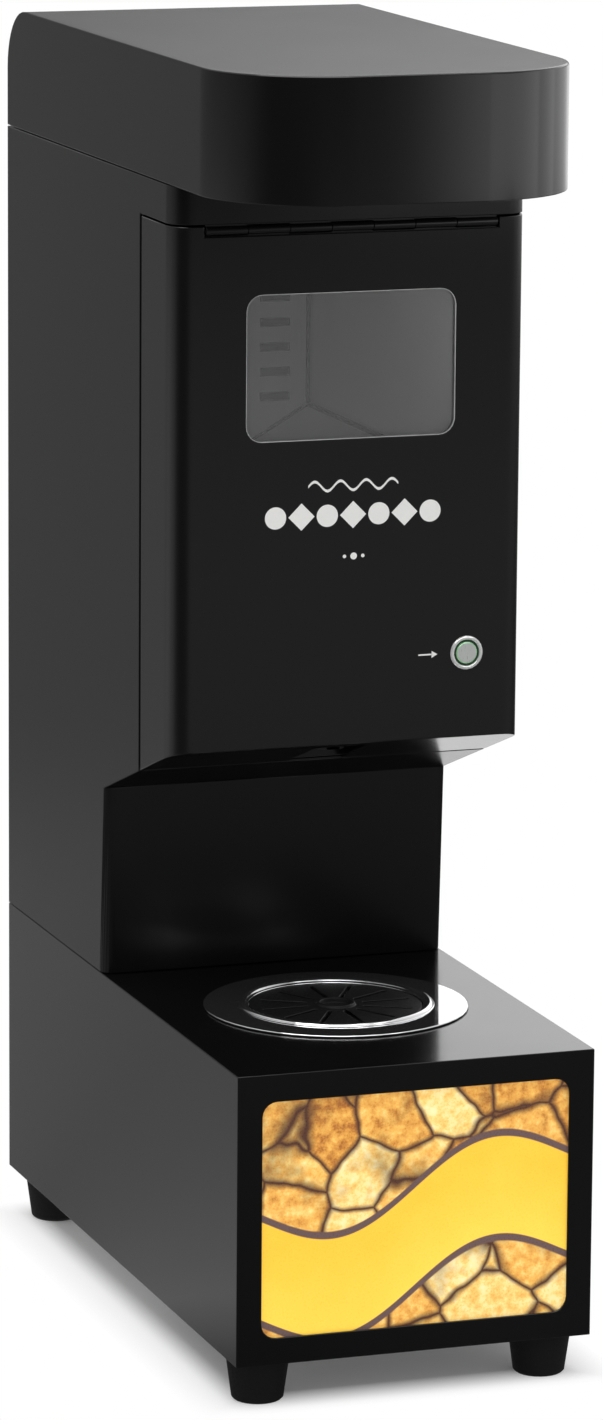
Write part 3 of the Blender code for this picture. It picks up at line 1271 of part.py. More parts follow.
FLANGE_RADIUS = 0.0724
BOWL_SHEET = 0.001
BEAD_RADIUS = 0.0512
BEAD_HALF_WIDTH = 0.0022
BEAD_HEIGHT = 0.0018
BEAD_STEPS = 6
SEAT_RADIUS = 0.0478
LEDGE_WIDTH = 0.0035
LEDGE_DROP = 0.0030
BOWL_DEPTH = 0.033
BOWL_CORNER = 0.005
BOWL_STEPS = 48
BOWL_HOLE_GAP = 0.0005
GRATE_THICKNESS = 0.0022
GRATE_SLOTS = 12
GRATE_SLOT_WIDTH = 0.0026
GRATE_SLOT_START = 0.0150
GRATE_SLOT_END = 0.0425
GRATE_RING_RADIUS = 0.0110
GRATE_RING_BORE = 0.0080
GRATE_RING_RISE = 0.0014


def make_base_shell():
    low = FOOT_HEIGHT
    shell = box("base_shell", (-HALF, FRONT, low), (HALF, BACK, BASE_TOP), BLACK_PAINT)
    inside = bmesh.new()
    add_box(inside, (-HALF + SHEET, FRONT + SHEET, low - OVERRUN),
            (HALF - SHEET, BACK - SHEET, BASE_TOP - SHEET))
    cut(shell, inside)
    holes = bmesh.new()
    low_z = low + SIGN_WINDOW_RISE
    add_prism(holes, rounded_outline(-SIGN_WINDOW_HALF_WIDTH, low_z, SIGN_WINDOW_HALF_WIDTH,
                                     low_z + SIGN_WINDOW_HEIGHT, SIGN_WINDOW_RADIUS, SIGN_STEPS), "Y",
              FRONT - OVERRUN, FRONT + SHEET + OVERRUN)
    add_rod(holes, (0, BOWL_Y), "Z", SEAT_RADIUS + BOWL_SHEET + BOWL_HOLE_GAP, BASE_TOP - SHEET - OVERRUN,
            BASE_TOP + OVERRUN, BOWL_STEPS)
    add_box(holes, (-WIRE_HOLE_HALF_WIDTH, COLUMN_FRONT + WIRE_HOLE_FRONT_ROOM, BASE_TOP - SHEET - OVERRUN),
            (WIRE_HOLE_HALF_WIDTH, BACK - WIRE_HOLE_BACK_ROOM, BASE_TOP + OVERRUN))
    for row in range(BASE_VENT_ROWS):
        vent_z = low + BASE_VENT_RISE + row * BASE_VENT_PITCH
        add_box(holes, (-BASE_VENT_WIDTH / 2, BACK - SHEET - OVERRUN, vent_z),
                (BASE_VENT_WIDTH / 2, BACK + OVERRUN, vent_z + BASE_VENT_HEIGHT))
    cut(shell, holes)
    return shell


def make_base_floor():
    edge = SHEET + TOUCH
    return box("base_floor", (-HALF + edge, FRONT + edge, FOOT_HEIGHT),
               (HALF - edge, BACK - edge, FOOT_HEIGHT + FLOOR_SHEET), ZINC)


FOOT_TOP_RADIUS = 0.017
FOOT_BOTTOM_RADIUS = 0.014
FOOT_EDGE = 0.0015
FOOT_FROM_SIDE = 0.020
FOOT_FROM_FRONT = 0.024
FOOT_FROM_BACK = 0.028
FOOT_STEPS = 24


def make_foot(name, x, y):
    height = FOOT_HEIGHT - TOUCH
    return turned(name, [(0, 0), (FOOT_BOTTOM_RADIUS - FOOT_EDGE, 0), (FOOT_BOTTOM_RADIUS, FOOT_EDGE),
                         (FOOT_TOP_RADIUS, height - FOOT_EDGE), (FOOT_TOP_RADIUS, height), (0, height)],
                  FOOT_STEPS, (x, y, 0), RUBBER)


def make_drip_bowl():
    """Polished bowl: wide flat flange, raised bead, ledge for the grate and a shallow well."""
    under = BASE_TOP + TOUCH
    top = under + BOWL_SHEET
    ledge = top - LEDGE_DROP
    floor = top - BOWL_DEPTH
    well = SEAT_RADIUS - LEDGE_WIDTH
    bead = [(BEAD_RADIUS + BEAD_HALF_WIDTH * math.cos(math.pi * step / BEAD_STEPS),
             top + BEAD_HEIGHT * math.sin(math.pi * step / BEAD_STEPS)) for step in range(BEAD_STEPS + 1)]
    inner_corner = arc(well - BOWL_CORNER, floor + BOWL_CORNER, BOWL_CORNER, 0, -90, 3)
    outer_corner = arc(well - BOWL_CORNER, floor + BOWL_CORNER, BOWL_CORNER + BOWL_SHEET, -90, 0, 3)
    profile = ([(0, floor)] + inner_corner[::-1]
               + [(well, ledge), (SEAT_RADIUS, ledge), (SEAT_RADIUS, top)]
               + bead[::-1]
               + [(FLANGE_RADIUS, top), (FLANGE_RADIUS, under), (SEAT_RADIUS + BOWL_SHEET, under),
                  (SEAT_RADIUS + BOWL_SHEET, ledge - BOWL_SHEET), (well + BOWL_SHEET, ledge - BOWL_SHEET)]
               + outer_corner[::-1] + [(0, floor - BOWL_SHEET)])
    return turned("drip_bowl", profile, BOWL_STEPS, (0, BOWL_Y, 0), POLISHED)


def make_drip_grate():
    low = BASE_TOP + BOWL_SHEET - LEDGE_DROP + 2 * TOUCH
    high = low + GRATE_THICKNESS
    radius = SEAT_RADIUS - 2 * TOUCH
    bore = GRATE_RING_BORE
    grate = turned("drip_grate", [
        (0, low), (radius, low), (radius, high), (GRATE_RING_RADIUS, high),
        (GRATE_RING_RADIUS - GRATE_RING_RISE / 2, high + GRATE_RING_RISE),
        (bore + GRATE_RING_RISE / 2, high + GRATE_RING_RISE), (bore, high - GRATE_THICKNESS / 2),
        (0, high - GRATE_THICKNESS / 2)], BOWL_STEPS, (0, BOWL_Y, 0), BLACK_PLASTIC)
    slots = bmesh.new()
    width = GRATE_SLOT_WIDTH / 2
    for index in range(GRATE_SLOTS):
        outline = (arc(GRATE_SLOT_START + width, 0, width, 90, 270, 2)
                   + arc(GRATE_SLOT_END - width, 0, width, -90, 90, 2))
        verts = add_prism(slots, outline, "Z", low - OVERRUN, high + OVERRUN)
        turn = Matrix.Translation((0, BOWL_Y, 0)) @ Matrix.Rotation(math.tau * index / GRATE_SLOTS, 4, "Z")
        bmesh.ops.transform(slots, verts=verts, matrix=turn)
    return cut(grate, slots)


make_base_shell()
make_base_floor()
for foot_side, side_name in ((-1, "left"), (1, "right")):
    foot_x = foot_side * (HALF - FOOT_FROM_SIDE)
    make_foot("foot_front_" + side_name, foot_x, FRONT + FOOT_FROM_FRONT)
    make_foot("foot_rear_" + side_name, foot_x, BACK - FOOT_FROM_BACK)
carry(pivot("bowl_lift", (0, BOWL_Y, BASE_TOP)), make_drip_bowl())
carry(pivot("grate_lift", (0, BOWL_Y, BASE_TOP)), make_drip_grate())

# Lit picture panel

PANEL_LAP = 0.008
PANEL_THICKNESS = 0.003
LIGHT_BOX_DEPTH = 0.028
LIGHT_BOX_SHEET = 0.001
LED_BOARD_SIDE_ROOM = 0.008
LED_BOARD_END_ROOM = 0.01625
LED_BOARD_SHEET = 0.0016
LED_COLUMNS = 4
LED_ROWS = 3
LED_SIZE = 0.005
LED_HEIGHT = 0.0018

LED_BOARD_HALF_WIDTH = SIGN_WINDOW_HALF_WIDTH - LED_BOARD_SIDE_ROOM
LED_BOARD_HALF_HEIGHT = SIGN_WINDOW_HEIGHT / 2 - LED_BOARD_END_ROOM
SIGN_LOW = FOOT_HEIGHT + SIGN_WINDOW_RISE
SIGN_HIGH = SIGN_LOW + SIGN_WINDOW_HEIGHT
PANEL_FRONT = FRONT + SHEET + TOUCH
LIGHT_BOX_FRONT = PANEL_FRONT + PANEL_THICKNESS + TOUCH


def make_sign():
    half = SIGN_WINDOW_HALF_WIDTH + PANEL_LAP
    low = SIGN_LOW - PANEL_LAP
    high = SIGN_HIGH + PANEL_LAP
    box("sign_panel", (-half, PANEL_FRONT, low), (half, PANEL_FRONT + PANEL_THICKNESS, high), SIGN)
    back = LIGHT_BOX_FRONT + LIGHT_BOX_DEPTH
    tray = box("sign_light_box", (-half, LIGHT_BOX_FRONT, low), (half, back, high), WHITE_PLASTIC)
    inside = bmesh.new()
    inner = half - LIGHT_BOX_SHEET
    add_box(inside, (-inner, LIGHT_BOX_FRONT - OVERRUN, low + LIGHT_BOX_SHEET),
            (inner, back - LIGHT_BOX_SHEET, high - LIGHT_BOX_SHEET))
    cut(tray, inside)
    middle = (low + high) / 2
    board_back = back - LIGHT_BOX_SHEET - TOUCH
    board_front = board_back - LED_BOARD_SHEET
    board = box("sign_led_board", (-LED_BOARD_HALF_WIDTH, board_front, middle - LED_BOARD_HALF_HEIGHT),
                (LED_BOARD_HALF_WIDTH, board_back, middle + LED_BOARD_HALF_HEIGHT), WHITE_PLASTIC)
    lamps = bmesh.new()
    for column in range(LED_COLUMNS):
        for row in range(LED_ROWS):
            x = LED_BOARD_HALF_WIDTH * (2 * (column + 0.5) / LED_COLUMNS - 1)
            z = middle + LED_BOARD_HALF_HEIGHT * (2 * (row + 0.5) / LED_ROWS - 1)
            centred_box(lamps, x, z, LED_SIZE, LED_SIZE, board_front - LED_HEIGHT,
                        board_front + LED_BOARD_SHEET / 2)
    join(board, lamps)


# Power supply, control board and wiring

SUPPLY_WIDTH_SHARE = 0.49
SUPPLY_LENGTH = 0.130
SUPPLY_HEIGHT = 0.038
SUPPLY_FROM_BACK = 0.028
SUPPLY_STRIP_LENGTH = 0.014
SUPPLY_STRIP_HEIGHT = 0.016
COVER_PLATE_SHEET = 0.0012
BOARD_WIDTH_SHARE = 0.55
BOARD_LENGTH = 0.080
BOARD_SHEET = 0.0016
BOARD_FROM_BACK = 0.070
BOARD_RISE = 0.008
STANDOFF_RADIUS = 0.003
STANDOFF_INSET = 0.006
PART_HEIGHT = 0.016
LOOM_RADIUS = 0.0035
LOOM_FROM_SIDE = 0.018
LOOM_DEPTH_SHARE = 0.35135
LOOM_BEND = 0.012
LOOM_STEPS = 6
LOOM_HOLE_WIDTH = 0.018
LOOM_HOLE_LENGTH = 0.030

SUPPLY_WIDTH = BODY_WIDTH * SUPPLY_WIDTH_SHARE
SUPPLY_FRONT = BACK - SUPPLY_FROM_BACK - SUPPLY_LENGTH
BOARD_WIDTH = BODY_WIDTH * BOARD_WIDTH_SHARE
BOARD_FRONT = BACK - BOARD_FROM_BACK - BOARD_LENGTH
LOOM_X = HALF - LOOM_FROM_SIDE
LOOM_Y = COLUMN_FRONT + (BACK - COLUMN_FRONT) * LOOM_DEPTH_SHARE
FLOOR_TOP = FOOT_HEIGHT + FLOOR_SHEET
PLATE_BOTTOM = COVER_BOTTOM
PLATE_TOP = PLATE_BOTTOM + COVER_PLATE_SHEET
BOARD_BOTTOM = PLATE_TOP + BOARD_RISE


def make_power_supply():
    low = FLOOR_TOP + TOUCH
    start = SUPPLY_FRONT
    supply = box("power_supply", (-SUPPLY_WIDTH / 2, start, low),
                 (SUPPLY_WIDTH / 2, start + SUPPLY_LENGTH, low + SUPPLY_HEIGHT), ALUMINIUM)
    strip = bmesh.new()
    add_box(strip, (-SUPPLY_WIDTH / 2, start - SUPPLY_STRIP_LENGTH, low),
            (SUPPLY_WIDTH / 2, start + SUPPLY_STRIP_LENGTH, low + SUPPLY_STRIP_HEIGHT))
    return join(supply, strip)


def make_control_board():
    """Board on four standoffs, with a relay, a transformer and a terminal row."""
    start = BOARD_FRONT
    half = BOARD_WIDTH / 2
    board = box("control_board", (-half, start, BOARD_BOTTOM),
                (half, start + BOARD_LENGTH, BOARD_BOTTOM + BOARD_SHEET), BOARD)
    legs = bmesh.new()
    for x in (-half + STANDOFF_INSET, half - STANDOFF_INSET):
        for y in (start + STANDOFF_INSET, start + BOARD_LENGTH - STANDOFF_INSET):
            add_rod(legs, (x, y), "Z", STANDOFF_RADIUS, PLATE_TOP + TOUCH,
                    BOARD_BOTTOM + BOARD_SHEET / 2, 8)
    join(board, legs)
    fitted = bmesh.new()
    middle = BOARD_BOTTOM + BOARD_SHEET / 2
    top = BOARD_BOTTOM + BOARD_SHEET + PART_HEIGHT
    part_shares = ((-0.8, 0.15, -0.35, 0.5, 1.0), (-0.15, 0.15, 0.3, 0.45, 0.8), (0.5, 0.2, 0.85, 0.8, 0.6))
    for low_share, near_share, high_share, far_share, height_share in part_shares:
        add_box(fitted, (half * low_share, start + BOARD_LENGTH * near_share, middle),
                (half * high_share, start + BOARD_LENGTH * far_share,
                 middle + (top - middle) * height_share))
    combine(board, tool("board_parts", fitted), "UNION")
    return board


def make_wire_loom():
    """Wiring from the power supply up past the chamber to the control board in the top cover."""
    low = FLOOR_TOP + 2 * TOUCH + SUPPLY_HEIGHT / 2
    high = BOARD_BOTTOM + BOARD_SHEET / 2
    turn_low = arc(LOOM_X - LOOM_BEND, low + LOOM_BEND, LOOM_BEND, -90, 0, LOOM_STEPS)
    turn_high = arc(LOOM_X - LOOM_BEND, high - LOOM_BEND, LOOM_BEND, 0, 90, LOOM_STEPS)
    route = ([(SUPPLY_WIDTH / 2 + TOUCH, low)] + turn_low + turn_high + [(BOARD_WIDTH / 2 + TOUCH, high)])
    return wire("wire_loom", [(x, LOOM_Y, z) for x, z in route], LOOM_RADIUS, 2, BLACK_PLASTIC)


make_sign()
make_power_supply()
make_control_board()
make_wire_loom()

# Top cover and the plate that closes it


def cover_outline(inset):
    """Plan of the cover: square back corners and large round front corners."""
    half = HALF - inset
    front = FRONT + COVER_SETBACK + inset
    radius = COVER_CORNER_RADIUS - inset
    return ([(half, BACK - inset), (-half, BACK - inset)]
            + arc(-half + radius, front + radius, radius, 180, 270, COVER_CORNER_STEPS)
            + arc(half - radius, front + radius, radius, 270, 360, COVER_CORNER_STEPS))


def cover_block(inset, bottom):
    bm = bmesh.new()
    top = COVER_TOP - inset
    add_prism(bm, cover_outline(inset), "Z", bottom, top)
    back_edge = [edge for edge in bm.edges
                 if all(near(vert.co.z, top) and near(vert.co.y, BACK - inset) for vert in edge.verts)]
    round_edges(bm, back_edge, COVER_BACK_RADIUS - inset, COVER_BACK_STEPS)
    return bm


def make_top_cover():
    bm = cover_block(0.0, COVER_BOTTOM)
    rim = [edge for edge in bm.edges
           if all(near(vert.co.z, COVER_TOP) for vert in edge.verts)
           and any(abs(face.normal.z) < 0.5 for face in edge.link_faces)
           and not all(near(vert.co.y, BACK - COVER_BACK_RADIUS) for vert in edge.verts)]
    round_edges(bm, rim, COVER_EDGE_RADIUS, COVER_EDGE_STEPS)
    cover = to_object("top_cover", bm, BLACK_PAINT)
    return cut(cover, cover_block(SHEET, COVER_BOTTOM - OVERRUN))


def make_top_cover_plate():
    plate = prism("top_cover_plate", cover_outline(SHEET + TOUCH), "Z", PLATE_BOTTOM, PLATE_TOP,
                  BLACK_PAINT)
    hole = bmesh.new()
    add_box(hole, (LOOM_X - LOOM_HOLE_WIDTH / 2, LOOM_Y - LOOM_HOLE_LENGTH / 2, PLATE_BOTTOM - OVERRUN),
            (LOOM_X + LOOM_HOLE_WIDTH / 2, LOOM_Y + LOOM_HOLE_LENGTH / 2, PLATE_TOP + OVERRUN))
    return cut(plate, hole)


make_top_cover()
make_top_cover_plate()
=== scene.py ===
"""Looks of the nacho cheese dispenser: finishes, fine pieces, floor, light and camera.

Metres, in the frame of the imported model: the counter is at z 0 and the front faces -Y.
"""
import json
import math

import bmesh
import bpy
from mathutils import Matrix, Vector
from mathutils.bvhtree import BVHTree


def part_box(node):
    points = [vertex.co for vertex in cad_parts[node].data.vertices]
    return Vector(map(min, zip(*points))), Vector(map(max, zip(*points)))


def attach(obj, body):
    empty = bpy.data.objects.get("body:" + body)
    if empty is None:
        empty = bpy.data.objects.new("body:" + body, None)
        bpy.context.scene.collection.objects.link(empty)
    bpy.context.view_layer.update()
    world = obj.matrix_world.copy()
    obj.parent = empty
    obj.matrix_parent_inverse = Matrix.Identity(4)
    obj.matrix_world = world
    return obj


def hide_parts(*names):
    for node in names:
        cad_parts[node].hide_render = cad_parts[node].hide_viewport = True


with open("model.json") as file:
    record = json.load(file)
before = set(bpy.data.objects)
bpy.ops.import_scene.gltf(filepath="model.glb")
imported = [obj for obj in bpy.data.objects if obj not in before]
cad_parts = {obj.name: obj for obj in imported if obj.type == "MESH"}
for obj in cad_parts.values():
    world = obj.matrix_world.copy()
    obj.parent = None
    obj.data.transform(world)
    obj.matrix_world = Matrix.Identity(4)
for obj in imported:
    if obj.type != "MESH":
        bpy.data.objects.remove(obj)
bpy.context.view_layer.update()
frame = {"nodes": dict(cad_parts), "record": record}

MM = 0.001

# Camera, at the photograph's place

IMAGE_LONG_SIDE = 1420
FOCAL_PIXELS = 6435.96
SENSOR = 36.0
CAMERA_PLACE = Vector((-1.13565, -3.29078, 1.03676))
CAMERA_YAW = 0.33406
CAMERA_PITCH = -0.19976
CAMERA_ROLL = 0.0076
CLIP_START = 0.1
CLIP_END = 200


def set_camera():
    """The camera, looking from the photograph's place."""
    data = bpy.data.cameras.new("studio_camera")
    data.sensor_width = SENSOR
    data.lens = FOCAL_PIXELS / IMAGE_LONG_SIDE * SENSOR
    data.clip_start = CLIP_START
    data.clip_end = CLIP_END
    camera = bpy.data.objects.new("studio_camera", data)
    bpy.context.scene.collection.objects.link(camera)
    level = Vector((math.cos(CAMERA_YAW), -math.sin(CAMERA_YAW), 0))
    ahead = Vector((math.sin(CAMERA_YAW) * math.cos(CAMERA_PITCH),
                    math.cos(CAMERA_YAW) * math.cos(CAMERA_PITCH), math.sin(CAMERA_PITCH)))
    upward = level.cross(ahead)
    right = math.cos(CAMERA_ROLL) * level + math.sin(CAMERA_ROLL) * upward
    top = math.cos(CAMERA_ROLL) * upward - math.sin(CAMERA_ROLL) * level
    turn = Matrix((right, top, -ahead)).transposed()
    camera.matrix_world = Matrix.Translation(CAMERA_PLACE) @ turn.to_4x4()
    bpy.context.scene.camera = camera


# Node helpers

def add_node(tree, kind, inputs=None, **settings):
    """A shader node with its settings, and its inputs either set or linked."""
    made = tree.nodes.new(kind)
    for name, value in settings.items():
        setattr(made, name, value)
    for name, value in (inputs or {}).items():
        if isinstance(value, bpy.types.NodeSocket):
            tree.links.new(value, made.inputs[name])
        else:
            made.inputs[name].default_value = value
    return made


def maths(tree, operation, first, second=0.0, third=0.0):
    """The result of one operation on up to three values."""
    return add_node(tree, "ShaderNodeMath", {0: first, 1: second, 2: third}, operation=operation).outputs[0]


def ramp(tree, factor, stops, smooth=True):
    """A colour ramp through (position, grey or colour) stops."""
    made = add_node(tree, "ShaderNodeValToRGB", {"Fac": factor})
    scale = made.color_ramp
    scale.interpolation = "EASE" if smooth else "LINEAR"
    while len(scale.elements) < len(stops):
        scale.elements.new(0.5)
    for element, (position, colour) in zip(scale.elements, stops):
        element.position = position
        element.color = (*colour, 1.0) if isinstance(colour, tuple) else (colour, colour, colour, 1.0)
    return made.outputs["Color"]


def spread(tree, value, low, high, new_low, new_high):
    """A value's range mapped to another, clamped."""
    return add_node(tree, "ShaderNodeMapRange", {"Value": value, "From Min": low, "From Max": high,
                                                 "To Min": new_low, "To Max": new_high}).outputs["Result"]


def blend_colours(tree, factor, first, second):
    """Two colours mixed by a factor; each may be a socket."""
    made = add_node(tree, "ShaderNodeMix", data_type="RGBA")
    for socket, value in ((made.inputs[0], factor), (made.inputs[6], first), (made.inputs[7], second)):
        if isinstance(value, bpy.types.NodeSocket):
            tree.links.new(value, socket)
        else:
            socket.default_value = (*value, 1.0) if isinstance(value, tuple) else value
    return made.outputs[2]


# Studio: what glossy surfaces see round the object, the floor and the lamps

NEAR_STOPS = [(0.0, 0.4), (0.02, 0.37), (0.05, 0.33), (0.08, 0.28), (0.105, 0.22), (0.13, 0.17),
              (0.16, 0.12), (0.19, 0.08), (0.22, 0.08), (0.3, 0.13), (0.4, 0.14), (0.5, 0.08),
              (0.58, 0.04), (0.6, 0.1), (0.63, 1.15), (0.76, 1.15), (0.785, 0.3), (0.83, 0.25),
              (0.9, 0.33), (1.0, 0.4)]
MIDDLE_STOPS = [(0.0, 0.62), (0.022, 0.42), (0.05, 0.2), (0.078, 0.09), (0.11, 0.06), (0.16, 0.08),
                (0.19, 0.18), (0.22, 0.33), (0.25, 0.38), (0.42, 0.34), (0.48, 0.2), (0.53, 0.07),
                (0.6, 0.06), (0.64, 0.3), (0.68, 1.0), (0.74, 1.0), (0.785, 0.16), (0.83, 0.21),
                (0.86, 0.38), (0.91, 0.66), (0.945, 0.75), (1.0, 0.62)]
SKY_STOPS = [(0.0, 0.17), (0.024, 0.14), (0.05, 0.09), (0.08, 0.04), (0.14, 0.05), (0.2, 0.05),
             (0.25, 0.05), (0.33, 0.07), (0.4, 0.12), (0.46, 0.6), (0.53, 1.0), (0.56, 0.9), (0.6, 0.7),
             (0.64, 1.0), (0.74, 1.0), (0.79, 0.16), (0.83, 0.16), (0.94, 0.2), (1.0, 0.17)]
BRIGHTEST_STOP = 2.0
NEAR_REACH = (1.0, 1.6)
FAR_REACH = (4.2, 5.6)
BACK_RIGHT_STOPS = [(0.56, 0.0), (0.60, 1.0), (0.76, 1.0), (0.79, 0.0)]
BACK_RIGHT_START = 0.19
BACK_RIGHT_LEVEL = 0.092
BACK_RIGHT_RISE = 10.0
BACK_RIGHT_MIDDLE = 0.692
BACK_RIGHT_TILT = -36.0
BACK_RIGHT_LIMITS = (0.15, 1.52)
TOP_LIGHT = 0.9
TOP_RISE = (0.35, 0.8)
AMBIENT = 0.58
FLOOR_SIZE = 60.0
FLOOR_ALBEDO = 0.95
FLOOR_LIFT = 0.065
FOOTPRINT = (0.1055, 0.2015)
FADE_START = -0.0215
FADE_END = 0.016


def compass(tree, place):
    """Share of a full turn round the object: 0 and 1 are the left, a quarter the front, a half the right."""
    parts = add_node(tree, "ShaderNodeSeparateXYZ", {0: place})
    angle = maths(tree, "ARCTAN2", parts.outputs["Y"], parts.outputs["X"])
    return maths(tree, "MULTIPLY_ADD", angle, 1 / math.tau, 0.5), parts.outputs


def glow_round(tree, share, stops):
    """Brightness by compass share; the ramp holds it scaled down, as a colour stops at 1."""
    scaled = [(position, value / BRIGHTEST_STOP) for position, value in stops]
    return maths(tree, "MULTIPLY", ramp(tree, share, scaled, smooth=False), BRIGHTEST_STOP)


def blend_values(tree, factor, first, second):
    """Two values mixed by a factor; each may be a socket."""
    made = add_node(tree, "ShaderNodeMix", data_type="FLOAT")
    for socket, value in ((made.inputs[0], factor), (made.inputs[2], first), (made.inputs[3], second)):
        if isinstance(value, bpy.types.NodeSocket):
            tree.links.new(value, socket)
        else:
            socket.default_value = value
    return made.outputs[0]


def set_world():
    """White to the camera, and a studio of dark and bright parts to whatever mirrors it."""
    world = bpy.data.worlds.new("studio")
    bpy.context.scene.world = world
    world.use_nodes = True
    tree = world.node_tree
    tree.nodes.clear()
    path = add_node(tree, "ShaderNodeLightPath")
    share, parts = compass(tree, add_node(tree, "ShaderNodeTexCoord").outputs["Generated"])
    height = maths(tree, "SUBTRACT", parts["Z"], BACK_RIGHT_LEVEL)
    rising = maths(tree, "MULTIPLY_ADD", height, BACK_RIGHT_RISE, BACK_RIGHT_START)
    tilt = maths(tree, "MULTIPLY_ADD", share, BACK_RIGHT_TILT, 1 - BACK_RIGHT_TILT * BACK_RIGHT_MIDDLE)
    rising = maths(tree, "MULTIPLY", rising, tilt)
    lowest, highest = BACK_RIGHT_LIMITS
    rising = maths(tree, "MINIMUM", maths(tree, "MAXIMUM", rising, lowest), highest)
    behind = ramp(tree, share, BACK_RIGHT_STOPS, smooth=False)
    low = blend_values(tree, behind, glow_round(tree, share, SKY_STOPS), rising)
    seen = blend_values(tree, spread(tree, parts["Z"], *TOP_RISE, 0.0, 1.0), low, TOP_LIGHT)
    mirrored = maths(tree, "MAXIMUM", path.outputs["Is Glossy Ray"], path.outputs["Is Transmission Ray"])
    strength = blend_values(tree, mirrored, AMBIENT, seen)
    strength = blend_values(tree, path.outputs["Is Camera Ray"], strength, 1.0)
    background = add_node(tree, "ShaderNodeBackground", {"Color": (1, 1, 1, 1), "Strength": strength})
    output = add_node(tree, "ShaderNodeOutputWorld")
    tree.links.new(background.outputs[0], output.inputs["Surface"])


def beyond(tree, value, half):
    """How far a value lies outside a span of half each way."""
    return maths(tree, "SUBTRACT", maths(tree, "ABSOLUTE", value), half)


def make_floor():
    """White floor: shaded near the object, fading to plain white, with its own glow in reflections."""
    bm = bmesh.new()
    bmesh.ops.create_grid(bm, x_segments=1, y_segments=1, size=FLOOR_SIZE / 2)
    mesh = bpy.data.meshes.new("studio_floor")
    bm.to_mesh(mesh)
    bm.free()
    floor = bpy.data.objects.new("studio_floor", mesh)
    bpy.context.scene.collection.objects.link(floor)
    material = bpy.data.materials.new("studio_floor")
    material.use_nodes = True
    tree = material.node_tree
    tree.nodes.clear()
    place = add_node(tree, "ShaderNodeTexCoord").outputs["Object"]
    path = add_node(tree, "ShaderNodeLightPath")
    share, parts = compass(tree, place)
    matt = add_node(tree, "ShaderNodeBsdfDiffuse", {"Color": (FLOOR_ALBEDO, FLOOR_ALBEDO, FLOOR_ALBEDO, 1)})
    lift = add_node(tree, "ShaderNodeEmission", {"Color": (1, 1, 1, 1)})
    lifting = maths(tree, "MULTIPLY", path.outputs["Is Camera Ray"], FLOOR_LIFT)
    tree.links.new(lifting, lift.inputs["Strength"])
    near = add_node(tree, "ShaderNodeAddShader")
    tree.links.new(matt.outputs[0], near.inputs[0])
    tree.links.new(lift.outputs[0], near.inputs[1])
    white = add_node(tree, "ShaderNodeEmission", {"Color": (1, 1, 1, 1), "Strength": 1.0})
    outside = maths(tree, "MAXIMUM", beyond(tree, parts["X"], FOOTPRINT[0]),
                    beyond(tree, parts["Y"], FOOTPRINT[1]))
    far = maths(tree, "MULTIPLY", spread(tree, outside, FADE_START, FADE_END, 0.0, 1.0),
                path.outputs["Is Camera Ray"])
    shown = add_node(tree, "ShaderNodeMixShader", {0: far})
    tree.links.new(near.outputs[0], shown.inputs[1])
    tree.links.new(white.outputs[0], shown.inputs[2])
    distance = add_node(tree, "ShaderNodeVectorMath", {0: place}, operation="LENGTH").outputs["Value"]
    glow = blend_values(tree, spread(tree, distance, *NEAR_REACH, 0.0, 1.0),
                        glow_round(tree, share, NEAR_STOPS), glow_round(tree, share, MIDDLE_STOPS))
    glow = blend_values(tree, spread(tree, distance, *FAR_REACH, 0.0, 1.0), glow,
                        glow_round(tree, share, SKY_STOPS))
    mirror = add_node(tree, "ShaderNodeEmission", {"Color": (1, 1, 1, 1), "Strength": glow})
    final = add_node(tree, "ShaderNodeMixShader", {0: path.outputs["Is Glossy Ray"]})
    tree.links.new(shown.outputs[0], final.inputs[1])
    tree.links.new(mirror.outputs[0], final.inputs[2])
    output = add_node(tree, "ShaderNodeOutputMaterial")
    tree.links.new(final.outputs[0], output.inputs["Surface"])
    mesh.materials.append(material)


def add_lamp(name, place, aim, size, power, on_camera=True):
    """A rectangular lamp at a place, facing a point."""
    data = bpy.data.lights.new(name, "AREA")
    data.shape = "RECTANGLE"
    data.size, data.size_y = size
    data.energy = power
    lamp = bpy.data.objects.new(name, data)
    lamp.visible_camera = on_camera
    bpy.context.scene.collection.objects.link(lamp)
    turn = (Vector(aim) - Vector(place)).to_track_quat("-Z", "Y").to_matrix().to_4x4()
    lamp.matrix_world = Matrix.Translation(place) @ turn


LAMP_PLACE = (-0.5, -0.6, 2.6)
LAMP_AIM = (0, 0, 0.2)
LAMP_SIZE = (2.2, 2.2)
LAMP_POWER = 42.0
CARD_Z = 0.6975
CARD_HEIGHT = 0.205
LID_CARDS = [(0.070, 0.085, 0.10), (0.085, 0.095, 0.26), (0.095, 0.105, 0.45), (0.105, 0.115, 0.70),
             (0.115, 0.125, 0.98), (0.125, 0.135, 1.3), (0.135, 0.30, 1.6)]
LID_CARD_Y = -0.45
LID_CARD_AIM_Y = 1.0
SIDE_CARDS = [(-0.45, -0.25, 1.65), (-0.25, -0.14, 0.90), (-0.14, 0.15, 0.30)]
SIDE_CARD_X = 0.30
SIDE_CARD_AIM_X = -1.0


def add_card(name, middle, aim, width, level):
    """A card of light for reflections, unseen by the camera."""
    add_lamp(name, middle, aim, (width, CARD_HEIGHT), level * math.pi * width * CARD_HEIGHT, on_camera=False)


